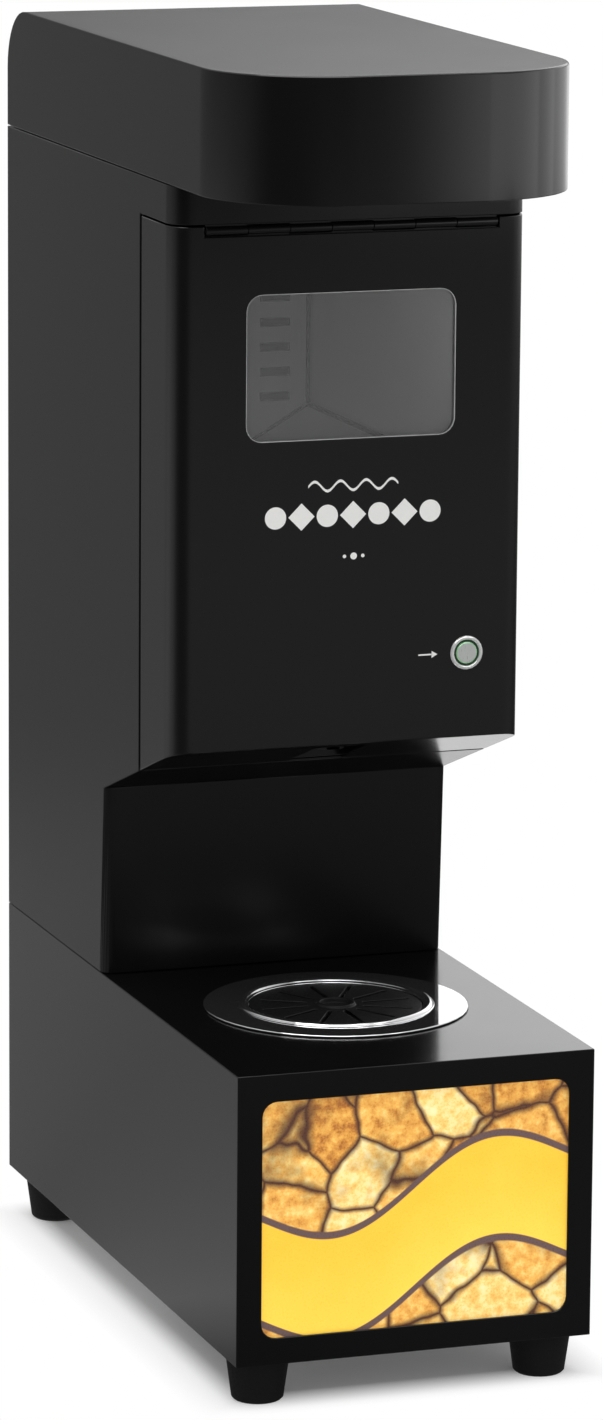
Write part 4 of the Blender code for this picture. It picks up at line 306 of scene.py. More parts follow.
def set_lights():
    """A lamp above, and (start, end, level) cards that give the lid's front and right corner their sheen."""
    add_lamp("overhead_lamp", LAMP_PLACE, LAMP_AIM, LAMP_SIZE, LAMP_POWER)
    for number, (start, end, level) in enumerate(LID_CARDS, 1):
        x = (start + end) / 2
        aim = (x, LID_CARD_AIM_Y, CARD_Z)
        add_card(f"lid_card_{number}", (x, LID_CARD_Y, CARD_Z), aim, end - start, level)
    for number, (start, end, level) in enumerate(SIDE_CARDS, 1):
        y = (start + end) / 2
        aim = (SIDE_CARD_AIM_X, y, CARD_Z)
        add_card(f"side_card_{number}", (SIDE_CARD_X, y, CARD_Z), aim, end - start, level)


# Finishes

def new_finish(name, slot, colour, roughness, metallic=0.0):
    """A named finish on the object's own coordinates; returns it with its tree, shader and place."""
    material = bpy.data.materials.new(name)
    material.use_nodes = True
    material["record_slot"] = slot
    tree = material.node_tree
    shader = tree.nodes["Principled BSDF"]
    shader.inputs["Base Color"].default_value = (*colour, 1.0)
    shader.inputs["Roughness"].default_value = roughness
    shader.inputs["Metallic"].default_value = metallic
    place = add_node(tree, "ShaderNodeTexCoord").outputs["Object"]
    return material, tree, shader, place


def noise(tree, place, scale, detail=2.0, roughness=0.5, stretch=None, turn=None):
    """Noise of so many cells a metre, drawn out along an axis if stretch says so."""
    if stretch or turn:
        place = add_node(tree, "ShaderNodeMapping", {"Vector": place, "Scale": stretch or (1, 1, 1),
                                                     "Rotation": turn or (0, 0, 0)}).outputs["Vector"]
    made = add_node(tree, "ShaderNodeTexNoise", {"Vector": place, "Scale": scale, "Detail": detail,
                                                 "Roughness": roughness})
    return made.outputs["Fac"]


def bump(tree, shader, height, distance):
    """Relief from a height pattern, as deep as distance."""
    made = add_node(tree, "ShaderNodeBump", {"Height": height, "Distance": distance, "Strength": 1.0})
    tree.links.new(made.outputs["Normal"], shader.inputs["Normal"])


# The middle part of a noise pattern's values, which its finish spreads over a whole range

NOISE_MIDDLE = (0.3, 0.7)
NOISE_UPPER = (0.35, 0.75)


def vary_roughness(tree, shader, pattern, low, high, reach=NOISE_MIDDLE):
    """Roughness from low to high by a pattern."""
    tree.links.new(spread(tree, pattern, *reach, low, high), shader.inputs["Roughness"])


def vary_colour(tree, shader, pattern, first, second):
    """Base colour between two colours by a pattern."""
    tree.links.new(blend_colours(tree, pattern, first, second), shader.inputs["Base Color"])


def tint(colour, factor):
    """A colour made lighter or darker."""
    return tuple(min(1.0, value * factor) for value in colour)


# Powder coat, in cells a metre for its patterns

PAINT_SPECULAR = 0.25
PAINT_CLOUDS = 9.0
PAINT_SPECKS = 1100.0
PAINT_MARKS = 60.0
MARK_STRETCH = (1.0, 1.0, 0.15)
MARK_GLOSS = (-0.008, 0.012)
PEEL_CELLS = 420.0
PAINT_TINTS = (0.8, 1.35)


def powder_coat(name, colour, roughness, peel, coat, coat_roughness, swing=0.03):
    """Black powder coat: fine orange peel, slow changes of gloss and faint handling marks."""
    material, tree, shader, place = new_finish(name, "black_paint", colour, roughness)
    shader.inputs["Specular IOR Level"].default_value = PAINT_SPECULAR
    shader.inputs["Coat Weight"].default_value = coat
    shader.inputs["Coat Roughness"].default_value = coat_roughness
    slow = noise(tree, place, PAINT_CLOUDS, detail=3.0)
    fine = noise(tree, place, PAINT_SPECKS, detail=1.0)
    marks = noise(tree, place, PAINT_MARKS, detail=4.0, roughness=0.65, stretch=MARK_STRETCH)
    gloss = maths(tree, "ADD", spread(tree, slow, *NOISE_MIDDLE, -swing, swing),
                  spread(tree, marks, *NOISE_UPPER, *MARK_GLOSS))
    tree.links.new(maths(tree, "ADD", gloss, roughness), shader.inputs["Roughness"])
    speck = maths(tree, "MULTIPLY_ADD", fine, 0.35, maths(tree, "MULTIPLY", slow, 0.65))
    dark, light = (tint(colour, factor) for factor in PAINT_TINTS)
    vary_colour(tree, shader, speck, dark, light)
    coarse = noise(tree, place, PEEL_CELLS, detail=2.0)
    peel_height = maths(tree, "ADD", maths(tree, "MULTIPLY", coarse, 0.7), maths(tree, "MULTIPLY", fine, 0.3))
    bump(tree, shader, peel_height, peel)
    return material


# Metals

GRAIN_CELLS = 1400.0
GRAIN_SWING = 0.12
GRAIN_DEPTH = 0.02 * MM
SHEET_CLOUDS = 22.0
SHEET_TINTS = (0.78, 1.12)
POLISHED_METALLIC = 0.98
BUFFING_STRETCH = (1.0, 0.08, 1.0)


def brushed_metal(name, colour, roughness, grain, metallic=1.0):
    """Sheet steel with a fine grain drawn out along one axis."""
    material, tree, shader, place = new_finish(name, "stainless", colour, roughness, metallic)
    lines = noise(tree, place, GRAIN_CELLS, detail=3.0, roughness=0.6, stretch=grain)
    cloud = noise(tree, place, SHEET_CLOUDS, detail=3.0)
    vary_roughness(tree, shader, lines, roughness - GRAIN_SWING / 2, roughness + GRAIN_SWING)
    mixed = maths(tree, "MULTIPLY_ADD", lines, 0.5, maths(tree, "MULTIPLY", cloud, 0.5))
    dark, light = (tint(colour, factor) for factor in SHEET_TINTS)
    vary_colour(tree, shader, mixed, dark, light)
    bump(tree, shader, lines, GRAIN_DEPTH)
    return material


def polished_metal(name, colour, roughness):
    """Polished steel with faint round buffing marks."""
    material, tree, shader, place = new_finish(name, "polished_steel", colour, roughness, POLISHED_METALLIC)
    cloud = noise(tree, place, 30.0, detail=3.0)
    hair = noise(tree, place, 900.0, detail=2.0, roughness=0.6, stretch=BUFFING_STRETCH)
    smear = maths(tree, "MULTIPLY_ADD", hair, 0.4, maths(tree, "MULTIPLY", cloud, 0.6))
    vary_roughness(tree, shader, smear, roughness * 0.7, roughness * 1.9, (0.3, 0.75))
    vary_colour(tree, shader, cloud, tint(colour, 0.93), colour)
    bump(tree, shader, hair, 0.003 * MM)
    return material


def zinc_plate(name):
    """Bright zinc: large faint spangles with a blue and a yellow tinge."""
    material, tree, shader, place = new_finish(name, "zinc_plated", (0.5, 0.51, 0.52), 0.34, metallic=1.0)
    grains = add_node(tree, "ShaderNodeTexVoronoi", {"Vector": place, "Scale": 260.0})
    shade = add_node(tree, "ShaderNodeSeparateXYZ", {0: grains.outputs["Color"]}).outputs["X"]
    vary_colour(tree, shader, shade, (0.44, 0.46, 0.50), (0.56, 0.55, 0.50))
    rough = noise(tree, place, 500.0, detail=2.0)
    vary_roughness(tree, shader, rough, 0.26, 0.42)
    bump(tree, shader, rough, 0.01 * MM)
    return material


def cast_aluminium(name):
    """Cast aluminium with a gritty skin."""
    material, tree, shader, place = new_finish(name, "aluminium", (0.7, 0.7, 0.72), 0.38, metallic=1.0)
    grit = noise(tree, place, 800.0, detail=3.0)
    cloud = noise(tree, place, 26.0, detail=2.0)
    vary_roughness(tree, shader, grit, 0.3, 0.48)
    vary_colour(tree, shader, cloud, (0.62, 0.62, 0.64), (0.74, 0.74, 0.76))
    bump(tree, shader, grit, 0.02 * MM)
    return material


def chrome_with_painted_sheen(name):
    """Satin chrome of the button's bezel, with a fine turned grain; it is only half metallic, and its pale
    diffuse colour stands in for a bright reflection (painted sheen).
    """
    material, tree, shader, place = new_finish(name, "polished_steel", (0.86, 0.87, 0.86), 0.2, metallic=0.55)
    grain = noise(tree, place, 1300.0, detail=2.0)
    vary_colour(tree, shader, grain, (0.80, 0.81, 0.80), (0.92, 0.93, 0.92))
    vary_roughness(tree, shader, grain, 0.15, 0.27)
    bump(tree, shader, grain, 0.004 * MM)
    return material


# Plastics, rubber, lacquer and ink

PLASTIC_CLOUDS = 18.0
PLASTIC_TINTS = (0.86, 1.08)
PLASTIC_GLOSS = (-0.07, 0.09)
RUBBER_SPECULAR = 0.3
SCUFF_HEIGHT = 6 * MM
PANE_ALPHA = 0.21
WIPE_STRETCH = (0.35, 1.0, 1.0)
WIPE_TURN = (0, 0.5, 0)
TRACK_CELLS = 90.0
TRACK_WIDTH = 0.03


def moulded_plastic(name, slot, colour, roughness, grit=900.0, depth=0.03 * MM, specular=0.5):
    """Moulded plastic with the fine eroded grain of its mould."""
    material, tree, shader, place = new_finish(name, slot, colour, roughness)
    shader.inputs["Specular IOR Level"].default_value = specular
    spark = noise(tree, place, grit, detail=2.0)
    cloud = noise(tree, place, PLASTIC_CLOUDS, detail=3.0)
    low, high = (roughness + change for change in PLASTIC_GLOSS)
    vary_roughness(tree, shader, spark, low, high, (0.25, 0.75))
    dark, light = (tint(colour, factor) for factor in PLASTIC_TINTS)
    vary_colour(tree, shader, cloud, dark, light)
    bump(tree, shader, spark, depth)
    return material


def foot_rubber(name):
    """Dull rubber, scuffed a little lighter near the counter."""
    material, tree, shader, place = new_finish(name, "foot_rubber", (0.010, 0.010, 0.0105), 0.6)
    shader.inputs["Specular IOR Level"].default_value = RUBBER_SPECULAR
    grit = noise(tree, place, 700.0, detail=3.0)
    dust = noise(tree, place, 70.0, detail=4.0, roughness=0.6)
    vary_roughness(tree, shader, grit, 0.52, 0.7)
    height = add_node(tree, "ShaderNodeSeparateXYZ", {0: place}).outputs["Z"]
    scuff = maths(tree, "MULTIPLY", spread(tree, height, 0.0, SCUFF_HEIGHT, 0.6, 0.0), dust)
    vary_colour(tree, shader, scuff, (0.008, 0.008, 0.0085), (0.018, 0.0178, 0.0175))
    bump(tree, shader, grit, 0.05 * MM)
    return material


def smoked_pane(name):
    """Grey acrylic that shows the chamber dimly, with faint wipe marks."""
    material, tree, shader, place = new_finish(name, "smoked_acrylic", (0.24, 0.24, 0.245), 0.06)
    shader.inputs["Alpha"].default_value = PANE_ALPHA
    wipe = noise(tree, place, 35.0, detail=4.0, roughness=0.6, stretch=WIPE_STRETCH, turn=WIPE_TURN)
    vary_roughness(tree, shader, wipe, 0.04, 0.12, NOISE_UPPER)
    vary_colour(tree, shader, wipe, (0.25, 0.25, 0.252), (0.29, 0.29, 0.292))
    return material


def lacquered_board(name, colour, track):
    """Circuit board: lacquer over a pattern of copper tracks."""
    material, tree, shader, place = new_finish(name, "circuit_board", colour, 0.35)
    cells = add_node(tree, "ShaderNodeTexBrick",
                     {"Vector": place, "Color1": (*colour, 1), "Color2": (*track, 1), "Mortar": (*track, 1),
                      "Scale": TRACK_CELLS, "Mortar Size": TRACK_WIDTH})
    tree.links.new(cells.outputs["Color"], shader.inputs["Base Color"])
    bump(tree, shader, cells.outputs["Fac"], 0.03 * MM)
    vary_roughness(tree, shader, noise(tree, place, 300.0), 0.28, 0.45)
    return material


def green_lens(name):
    """Dark green lens of the button's light ring."""
    material, tree, shader, place = new_finish(name, "green_lens", (0.01, 0.05, 0.015), 0.25)
    haze = noise(tree, place, 900.0)
    vary_roughness(tree, shader, haze, 0.2, 0.35)
    vary_colour(tree, shader, haze, (0.008, 0.04, 0.012), (0.015, 0.07, 0.02))
    bump(tree, shader, haze, 0.01 * MM)
    return material


def white_ink(name):
    """Printed ink with a faint weave."""
    material, tree, shader, place = new_finish(name, "white_plastic", (0.82, 0.82, 0.80), 0.5)
    weave = noise(tree, place, 1500.0)
    vary_roughness(tree, shader, weave, 0.42, 0.6)
    vary_colour(tree, shader, weave, (0.76, 0.76, 0.74), (0.86, 0.86, 0.84))
    bump(tree, shader, weave, 0.01 * MM)
    return material


# Cap of the push button, on the CAD's own centre

BUTTON_CENTRE = Vector((67.0 * MM, -97.6 * MM, 378.3 * MM))
CAP_FACE_RADIUS = 5.2 * MM
# The rim band's width and its green are the light ring's glow, painted on the cap (painted light)
CAP_GLOW_WIDTH = 0.5 * MM
CAP_METALLIC = 0.35
RING_GLOW_GREEN = (0.42, 0.80, 0.44)


def lit_cap(name):
    """Satin cap of the push button; the green round its rim is the glow of its light ring, painted on as
    colour (painted light).
    """
    material, tree, shader, place = new_finish(name, "polished_steel", (0.52, 0.54, 0.52), 0.32, CAP_METALLIC)
    offset = (-BUTTON_CENTRE.x, 0.0, -BUTTON_CENTRE.z)
    flat = add_node(tree, "ShaderNodeVectorMath", {0: place, 1: offset}, operation="ADD")
    across = add_node(tree, "ShaderNodeVectorMath", {0: flat.outputs[0], 1: (1, 0, 1)}, operation="MULTIPLY")
    length = add_node(tree, "ShaderNodeVectorMath", {0: across.outputs[0]}, operation="LENGTH")
    satin = noise(tree, place, 1600.0, detail=2.0, roughness=0.6, stretch=(1.0, 1.0, 0.1))
    face = blend_colours(tree, satin, (0.50, 0.52, 0.50), (0.60, 0.62, 0.60))
    # Mask of the rim band where the light ring's green glow is painted on
    rim = spread(tree, length.outputs["Value"], CAP_FACE_RADIUS, CAP_FACE_RADIUS + CAP_GLOW_WIDTH, 0.0, 1.0)
    vary_colour(tree, shader, rim, face, RING_GLOW_GREEN)
    vary_roughness(tree, shader, satin, 0.26, 0.4)
    bump(tree, shader, satin, 0.008 * MM)
    return material


# The lit picture: a generic warm design of golden tiles behind a broad yellow wave

GOLDS = [(0.0, (0.38, 0.13, 0.025)), (0.22, (0.62, 0.27, 0.045)), (0.48, (0.82, 0.44, 0.09)),
         (0.74, (0.90, 0.62, 0.20)), (1.0, (0.95, 0.78, 0.40))]
DEEP_BROWN = (0.085, 0.035, 0.022)
RIM_BROWN = (0.13, 0.08, 0.075)
CREAM_YELLOW = (0.92, 0.50, 0.030)
PALE_YELLOW = (0.95, 0.66, 0.085)
PICTURE_GLOW = 0.45
TILE_CELLS = 27.0
WOBBLE_CELLS = 34.0
TOAST_CELLS = 160.0
PRINT_CELLS = 900.0
HOLLOW_CELLS = 24.0
RIPPLE_CELLS = 60.0
SHADE_SHARE = 0.62
TOAST_WARMTH = (-0.12, 0.55)
GRAIN_WARMTH = (-0.05, 0.05)
WAVE_MIDDLE = 0.088
WAVE_SWING = 0.017
WAVE_COUNT = 38.0
WAVE_HALF_HEIGHT = 0.027
WAVE_RIM = 0.0042
WAVE_SLANT = 0.16
PRINT_BLUR = 0.0006
RIM_BLUR = 0.0008
PRINT_SHIFT = (0.013, 0, 0.021)
TILE_WOBBLE = (0.012, 0.012, 0.012)
GAP_REACH = (0.005, 0.07)
HOLLOW_REACH = (0.50, 0.72)
HOLLOW_DEPTH = 0.85


def picture_print(name):
    """Toasted tiles with dark gaps and hollows; the yellow wave and its brown rim lie over them."""
    material, tree, shader, place = new_finish(name, "sign_print", (0.85, 0.5, 0.1), 0.3)
    flat = add_node(tree, "ShaderNodeMapping", {"Vector": place, "Scale": (1, 0, 1),
                                                "Location": PRINT_SHIFT}).outputs["Vector"]
    wobble = add_node(tree, "ShaderNodeTexNoise", {"Vector": flat, "Scale": WOBBLE_CELLS, "Detail": 2.0})
    shifted = add_node(tree, "ShaderNodeVectorMath", {0: wobble.outputs["Color"], 1: TILE_WOBBLE},
                       operation="MULTIPLY").outputs[0]
    bent = add_node(tree, "ShaderNodeVectorMath", {0: flat, 1: shifted}, operation="ADD").outputs[0]
    tiles = add_node(tree, "ShaderNodeTexVoronoi", {"Vector": bent, "Scale": TILE_CELLS})
    gaps = add_node(tree, "ShaderNodeTexVoronoi", {"Vector": bent, "Scale": TILE_CELLS},
                    feature="DISTANCE_TO_EDGE")
    shade = add_node(tree, "ShaderNodeSeparateXYZ", {0: tiles.outputs["Color"]}).outputs["X"]
    toast = noise(tree, flat, TOAST_CELLS, detail=5.0, roughness=0.62)
    grain = noise(tree, flat, PRINT_CELLS, detail=2.0)
    warm = maths(tree, "ADD", maths(tree, "MULTIPLY", shade, SHADE_SHARE),
                 spread(tree, toast, *NOISE_MIDDLE, *TOAST_WARMTH))
    warm = maths(tree, "ADD", warm, spread(tree, grain, *NOISE_MIDDLE, *GRAIN_WARMTH))
    gold = ramp(tree, warm, GOLDS, smooth=False)
    edge = spread(tree, gaps.outputs["Distance"], *GAP_REACH, 0.0, 1.0)
    hollow = noise(tree, flat, HOLLOW_CELLS, detail=3.0, roughness=0.6)
    hollow = spread(tree, hollow, *HOLLOW_REACH, 0.0, HOLLOW_DEPTH)
    edge = maths(tree, "MULTIPLY", edge, maths(tree, "SUBTRACT", 1.0, hollow))
    tiled = blend_colours(tree, edge, DEEP_BROWN, gold)
    spot = add_node(tree, "ShaderNodeSeparateXYZ", {0: place})
    slant = maths(tree, "MULTIPLY_ADD", spot.outputs["X"], WAVE_SLANT, WAVE_MIDDLE)
    swing = maths(tree, "SINE", maths(tree, "MULTIPLY", spot.outputs["X"], WAVE_COUNT))
    swell = maths(tree, "MULTIPLY", swing, WAVE_SWING)
    offset = maths(tree, "SUBTRACT", spot.outputs["Z"], maths(tree, "ADD", slant, swell))
    reach = maths(tree, "ABSOLUTE", offset)
    inside = spread(tree, reach, WAVE_HALF_HEIGHT - PRINT_BLUR, WAVE_HALF_HEIGHT, 1.0, 0.0)
    rim = spread(tree, reach, WAVE_HALF_HEIGHT + WAVE_RIM - RIM_BLUR, WAVE_HALF_HEIGHT + WAVE_RIM, 1.0, 0.0)
    shine = spread(tree, offset, -WAVE_HALF_HEIGHT, WAVE_HALF_HEIGHT * 0.6, 1.0, 0.0)
    ripple = noise(tree, place, RIPPLE_CELLS, detail=2.0)
    pale = maths(tree, "MULTIPLY_ADD", ripple, 0.35, maths(tree, "MULTIPLY", shine, 0.5))
    cream = blend_colours(tree, pale, CREAM_YELLOW, PALE_YELLOW)
    picture = blend_colours(tree, inside, blend_colours(tree, rim, tiled, RIM_BROWN), cream)
    tree.links.new(picture, shader.inputs["Base Color"])
    tree.links.new(picture, shader.inputs["Emission Color"])
    shader.inputs["Emission Strength"].default_value = PICTURE_GLOW
    vary_roughness(tree, shader, grain, 0.24, 0.36)
    bump(tree, shader, grain, 0.005 * MM)
    return material


# Piece helpers

MERGE = 0.01 * MM
FINE_MERGE = 0.001 * MM
FLAT_ANGLE = math.radians(1.0)
SHARP_ANGLE = math.radians(35)
SOFT_EDGE_ANGLE = math.radians(40)
BEVEL_SEGMENTS = 2
SHADING_WEIGHT = 100


def new_piece(name, bm, material, body, bevel=0.0):
    """A finished piece from a bmesh: smooth where it is round, with small soft edges if asked."""
    mesh = bpy.data.meshes.new(name)
    bm.to_mesh(mesh)
    bm.free()
    for stale in ("custom_normal", "sharp_face", "sharp_edge"):
        if stale in mesh.attributes:
            mesh.attributes.remove(mesh.attributes[stale])
    mesh.shade_smooth()
    mesh.set_sharp_from_angle(angle=SHARP_ANGLE)
    mesh.materials.clear()
    mesh.materials.append(material)
    piece = bpy.data.objects.new(name, mesh)
    bpy.context.scene.collection.objects.link(piece)
    if bevel:
        soften = piece.modifiers.new("soft_edges", "BEVEL")
        soften.width = bevel
        soften.segments = BEVEL_SEGMENTS
        soften.limit_method = "ANGLE"
        soften.angle_limit = SOFT_EDGE_ANGLE
        soften.use_clamp_overlap = False
        even = piece.modifiers.new("even_shading", "WEIGHTED_NORMAL")
        even.mode = "FACE_AREA"
        even.weight = SHADING_WEIGHT
        even.keep_sharp = True
    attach(piece, body)
    return piece


def body_of_node(node):
    """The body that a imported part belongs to."""
    for body, members in frame["record"]["behaviour"]["bodies"].items():
        if node in members:
            return body


def only(kind, parts):
    """The vertices, edges or faces among an operator's parts."""
    return [part for part in parts if isinstance(part, kind)]


def dress(node, material, bevel, trim=None):
    """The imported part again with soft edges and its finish, cut off behind trim if one is given."""
    bm = bmesh.new()
    bm.from_mesh(frame["nodes"][node].data)
    bmesh.ops.remove_doubles(bm, verts=bm.verts, dist=MERGE)
    if trim:
        cut = bmesh.ops.bisect_plane(bm, geom=[*bm.verts, *bm.edges, *bm.faces], dist=FINE_MERGE,
                                     plane_co=(0, trim, 0), plane_no=(0, 1, 0), clear_outer=True)["geom_cut"]
        bmesh.ops.holes_fill(bm, edges=only(bmesh.types.BMEdge, cut), sides=0)
        bmesh.ops.recalc_face_normals(bm, faces=bm.faces)
    bmesh.ops.dissolve_limit(bm, angle_limit=FLAT_ANGLE, verts=bm.verts, edges=bm.edges)
    piece = new_piece(node + "_finished", bm, material, body_of_node(node), bevel)
    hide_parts(node)


def paint(node, material):
    """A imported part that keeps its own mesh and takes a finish."""
    frame["nodes"][node].data.materials.clear()
    frame["nodes"][node].data.materials.append(material)


def face_along(faces, way):
    """Faces turned so that their normals point to the back (way 1) or to the front (way -1)."""
    for face in faces:
        face.normal_update()
        if face.normal.y * way < 0:
            face.normal_flip()


def thicken(bm, faces, vec):
    """Flat faces turned into a closed layer as thick as vec."""
    grown = bmesh.ops.extrude_face_region(bm, geom=faces)["geom"]
    bmesh.ops.translate(bm, verts=only(bmesh.types.BMVert, grown), vec=vec)
    bmesh.ops.recalc_face_normals(bm, faces=bm.faces)


def surface_point(node, start, direction):
    """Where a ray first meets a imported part."""
    mesh = frame["nodes"][node].data
    faces = [face.vertices for face in mesh.polygons]
    tree = BVHTree.FromPolygons([vert.co for vert in mesh.vertices], faces)
    return tree.ray_cast(Vector(start), Vector(direction))[0]


WIRE_ROUNDNESS = 2


def wires(name, lines, radius, material, body):
    """Round wires along open or closed rows of points."""
    data = bpy.data.curves.new(name, "CURVE")
    data.dimensions = "3D"
    data.bevel_depth = radius
    data.bevel_resolution = WIRE_ROUNDNESS
    data.use_fill_caps = True
    for points, closed in lines:
        spline = data.splines.new("POLY")
        spline.points.add(len(points) - 1)
        for knot, point in zip(spline.points, points):
            knot.co = (*point, 1.0)
        spline.use_cyclic_u = closed
    guide = bpy.data.objects.new(name + "_guide", data)
    mesh = bpy.data.meshes.new_from_object(guide)
    bm = bmesh.new()
    bm.from_mesh(mesh)
    bpy.data.objects.remove(guide)
    bmesh.ops.remove_doubles(bm, verts=bm.verts, dist=FINE_MERGE)
    bmesh.ops.recalc_face_normals(bm, faces=bm.faces)
    new_piece(name, bm, material, body)


# Screws, with the shares of a head's radius and height that shape it

SCREW_STEPS = 24
ROUNDING_STEPS = 3
ROUNDING_SHARE = 0.55
RIM_SHARE = 0.25
SOCKET_SHARE = 0.46
SOCKET_DEPTH_SHARE = 0.5
HEX_ANGLE = math.radians(60)
BEFORE = -0.3
BEHIND = 0.3
BELOW = -0.05
TO_FRONT = (0, -1, 0)
TO_BACK = (0, 1, 0)
UPWARD = (0, 0, 1)


def screw_head(bm, seat, outward, radius, height):
    """A low button head with a hexagon socket, sitting on seat and facing outward."""
    before = set(bm.verts)
    bmesh.ops.create_cone(bm, cap_ends=True, segments=SCREW_STEPS, radius1=radius, radius2=radius,
                          depth=height)
    top = max((face for face in bm.faces if not set(face.verts) & before),
              key=lambda face: face.calc_center_median().z)
    bmesh.ops.bevel(bm, geom=list(top.edges), offset=height * ROUNDING_SHARE, segments=ROUNDING_STEPS,
                    profile=0.5, affect="EDGES", material=-1, offset_type="OFFSET")
    top = max((face for face in bm.faces if not set(face.verts) & before),
              key=lambda face: (face.calc_center_median().z, face.calc_area()))
    bmesh.ops.inset_individual(bm, faces=[top], thickness=radius * RIM_SHARE)
    for vert in top.verts:
        angle = math.atan2(vert.co.y, vert.co.x) % HEX_ANGLE - HEX_ANGLE / 2
        reach = radius * SOCKET_SHARE * math.cos(HEX_ANGLE / 2) / math.cos(angle)
        vert.co.x, vert.co.y = vert.co.xy.normalized() * reach
    socket = bmesh.ops.extrude_discrete_faces(bm, faces=[top])["faces"][0]
    bmesh.ops.translate(bm, verts=socket.verts, vec=(0, 0, -height * SOCKET_DEPTH_SHARE))
    turn = Vector(outward).to_track_quat("Z", "Y").to_matrix().to_4x4()
    lift = Matrix.Translation(Vector(seat) + Vector(outward) * height / 2)
    bmesh.ops.transform(bm, verts=[vert for vert in bm.verts if vert not in before], matrix=lift @ turn)


def screw_row(name, carrier, starts, direction, radius, height, material):
    """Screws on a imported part, each where a ray from its start meets the part."""
    bm = bmesh.new()
    for start in starts:
        seat = surface_point(carrier, start, direction)
        screw_head(bm, seat, -Vector(direction), radius, height)
    new_piece(name, bm, material, body_of_node(carrier))


# Print on the door: plain generic shapes in white ink

DOOR_FRONT = -96.0 * MM
DOOR_EDGE = -41.0 * MM
INK_PROUD = 0.05 * MM
INK_SINK = 0.20 * MM
DOOR_WAVE = {"start": -24 * MM, "end": 27 * MM, "level": 473 * MM, "swing": 2.6 * MM, "count": 3.5,
             "thick": 1.5 * MM, "steps": 84}
ROW_COUNT = 7
ROW_MIDDLE = 1.5 * MM
ROW_PITCH = 14.6 * MM
ROW_LEVEL = 457 * MM
ROW_DISC = (6.0 * MM, 40)
ROW_DIAMOND = (7.4 * MM, 4)
DOT_RADII = (1.0 * MM, 1.9 * MM, 1.0 * MM)
DOT_STEPS = 20
DOT_MIDDLE = 2 * MM
DOT_PITCH = 5.2 * MM
DOT_LEVEL = 434.5 * MM
ARROW_HEAD = {"x": 48.2 * MM, "z": BUTTON_CENTRE.z, "radius": 2.2 * MM, "steps": 3, "turn": math.radians(90)}
ARROW_SHAFT = {"start": 39.5 * MM, "end": 47.4 * MM, "level": BUTTON_CENTRE.z, "swing": 0.0, "count": 1.0,
               "thick": 0.8 * MM, "steps": 4}


def ink_disc(bm, x, z, radius, steps, turn=0.0):
    """A flat disc, or a figure with as few corners as steps says."""
    made = bmesh.ops.create_circle(bm, cap_ends=True, segments=steps, radius=radius,
                                   matrix=Matrix.Translation((x, DOOR_FRONT + INK_SINK, z))
                                   @ Matrix.Rotation(turn, 4, "Y") @ Matrix.Rotation(math.pi / 2, 4, "X"))
    return list({face for vert in made["verts"] for face in vert.link_faces})


def ink_wave(bm, start, end, level, swing, count, thick, steps):
    """A wavy stroke: one short edge extruded along step by step."""
    back = DOOR_FRONT + INK_SINK
    low = bm.verts.new((start, back, level - thick / 2))
    high = bm.verts.new((start, back, level + thick / 2))
    edge = bm.edges.new((low, high))
    faces = []
    pitch = (end - start) / steps
    height = 0.0
    for step in range(1, steps + 1):
        new_height = swing * math.sin(math.tau * count * step / steps)
        grown = bmesh.ops.extrude_edge_only(bm, edges=[edge])["geom"]
        moved = only(bmesh.types.BMVert, grown)
        bmesh.ops.translate(bm, verts=moved, vec=(pitch, 0, new_height - height))
        faces += only(bmesh.types.BMFace, grown)
        edge = next(part for part in only(bmesh.types.BMEdge, grown) if set(part.verts) <= set(moved))
        height = new_height
    return faces


def print_on_door():
    """A wave, a row of discs and diamonds, three dots, and an arrow beside the button."""
    bm = bmesh.new()
    faces = ink_wave(bm, **DOOR_WAVE)
    for number in range(ROW_COUNT):
        x = ROW_MIDDLE + (number - ROW_COUNT // 2) * ROW_PITCH
        faces += ink_disc(bm, x, ROW_LEVEL, *(ROW_DIAMOND if number % 2 else ROW_DISC))
    for number, radius in enumerate(DOT_RADII, -1):
        faces += ink_disc(bm, DOT_MIDDLE + number * DOT_PITCH, DOT_LEVEL, radius, DOT_STEPS)
    faces += ink_disc(bm, **ARROW_HEAD)
    faces += ink_wave(bm, **ARROW_SHAFT)
    face_along(faces, -1)
    thicken(bm, faces, (0, -INK_PROUD - INK_SINK, 0))
    new_piece("door_print", bm, INK, "door")


# Bezel of the push button: radius and distance behind its foremost edge, in millimetres

BEZEL_PROFILE = [(7.15, 1.00), (7.25, 0.50), (7.55, 0.16), (8.00, 0.0), (8.45, 0.07), (8.85, 0.30),
                 (9.15, 0.68), (9.30, 1.10), (9.30, 1.30), (7.90, 1.30), (7.90, 15.60), (7.15, 15.60)]
BEZEL_STEPS = 64


def make_bezel():
    """The closed profile spun about the button's axis."""
    bm = bmesh.new()
    verts = [bm.verts.new((radius * MM, 0, height * MM)) for radius, height in BEZEL_PROFILE]
    edges = [bm.edges.new(pair) for pair in zip(verts, verts[1:] + verts[:1])]
    bmesh.ops.spin(bm, geom=verts + edges, cent=(0, 0, 0), axis=(0, 0, 1), angle=math.tau,
                   steps=BEZEL_STEPS, use_merge=True)
    bmesh.ops.remove_doubles(bm, verts=bm.verts, dist=FINE_MERGE)
    place = Matrix.Translation(BUTTON_CENTRE) @ Matrix.Rotation(-math.pi / 2, 4, "X")
    bmesh.ops.transform(bm, verts=bm.verts, matrix=place)
    bmesh.ops.recalc_face_normals(bm, faces=bm.faces)
    bezel = new_piece("button_bezel_ring", bm, BEZEL_SHEEN_CHROME, body_of_node("button_bezel"))
    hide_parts("button_bezel")
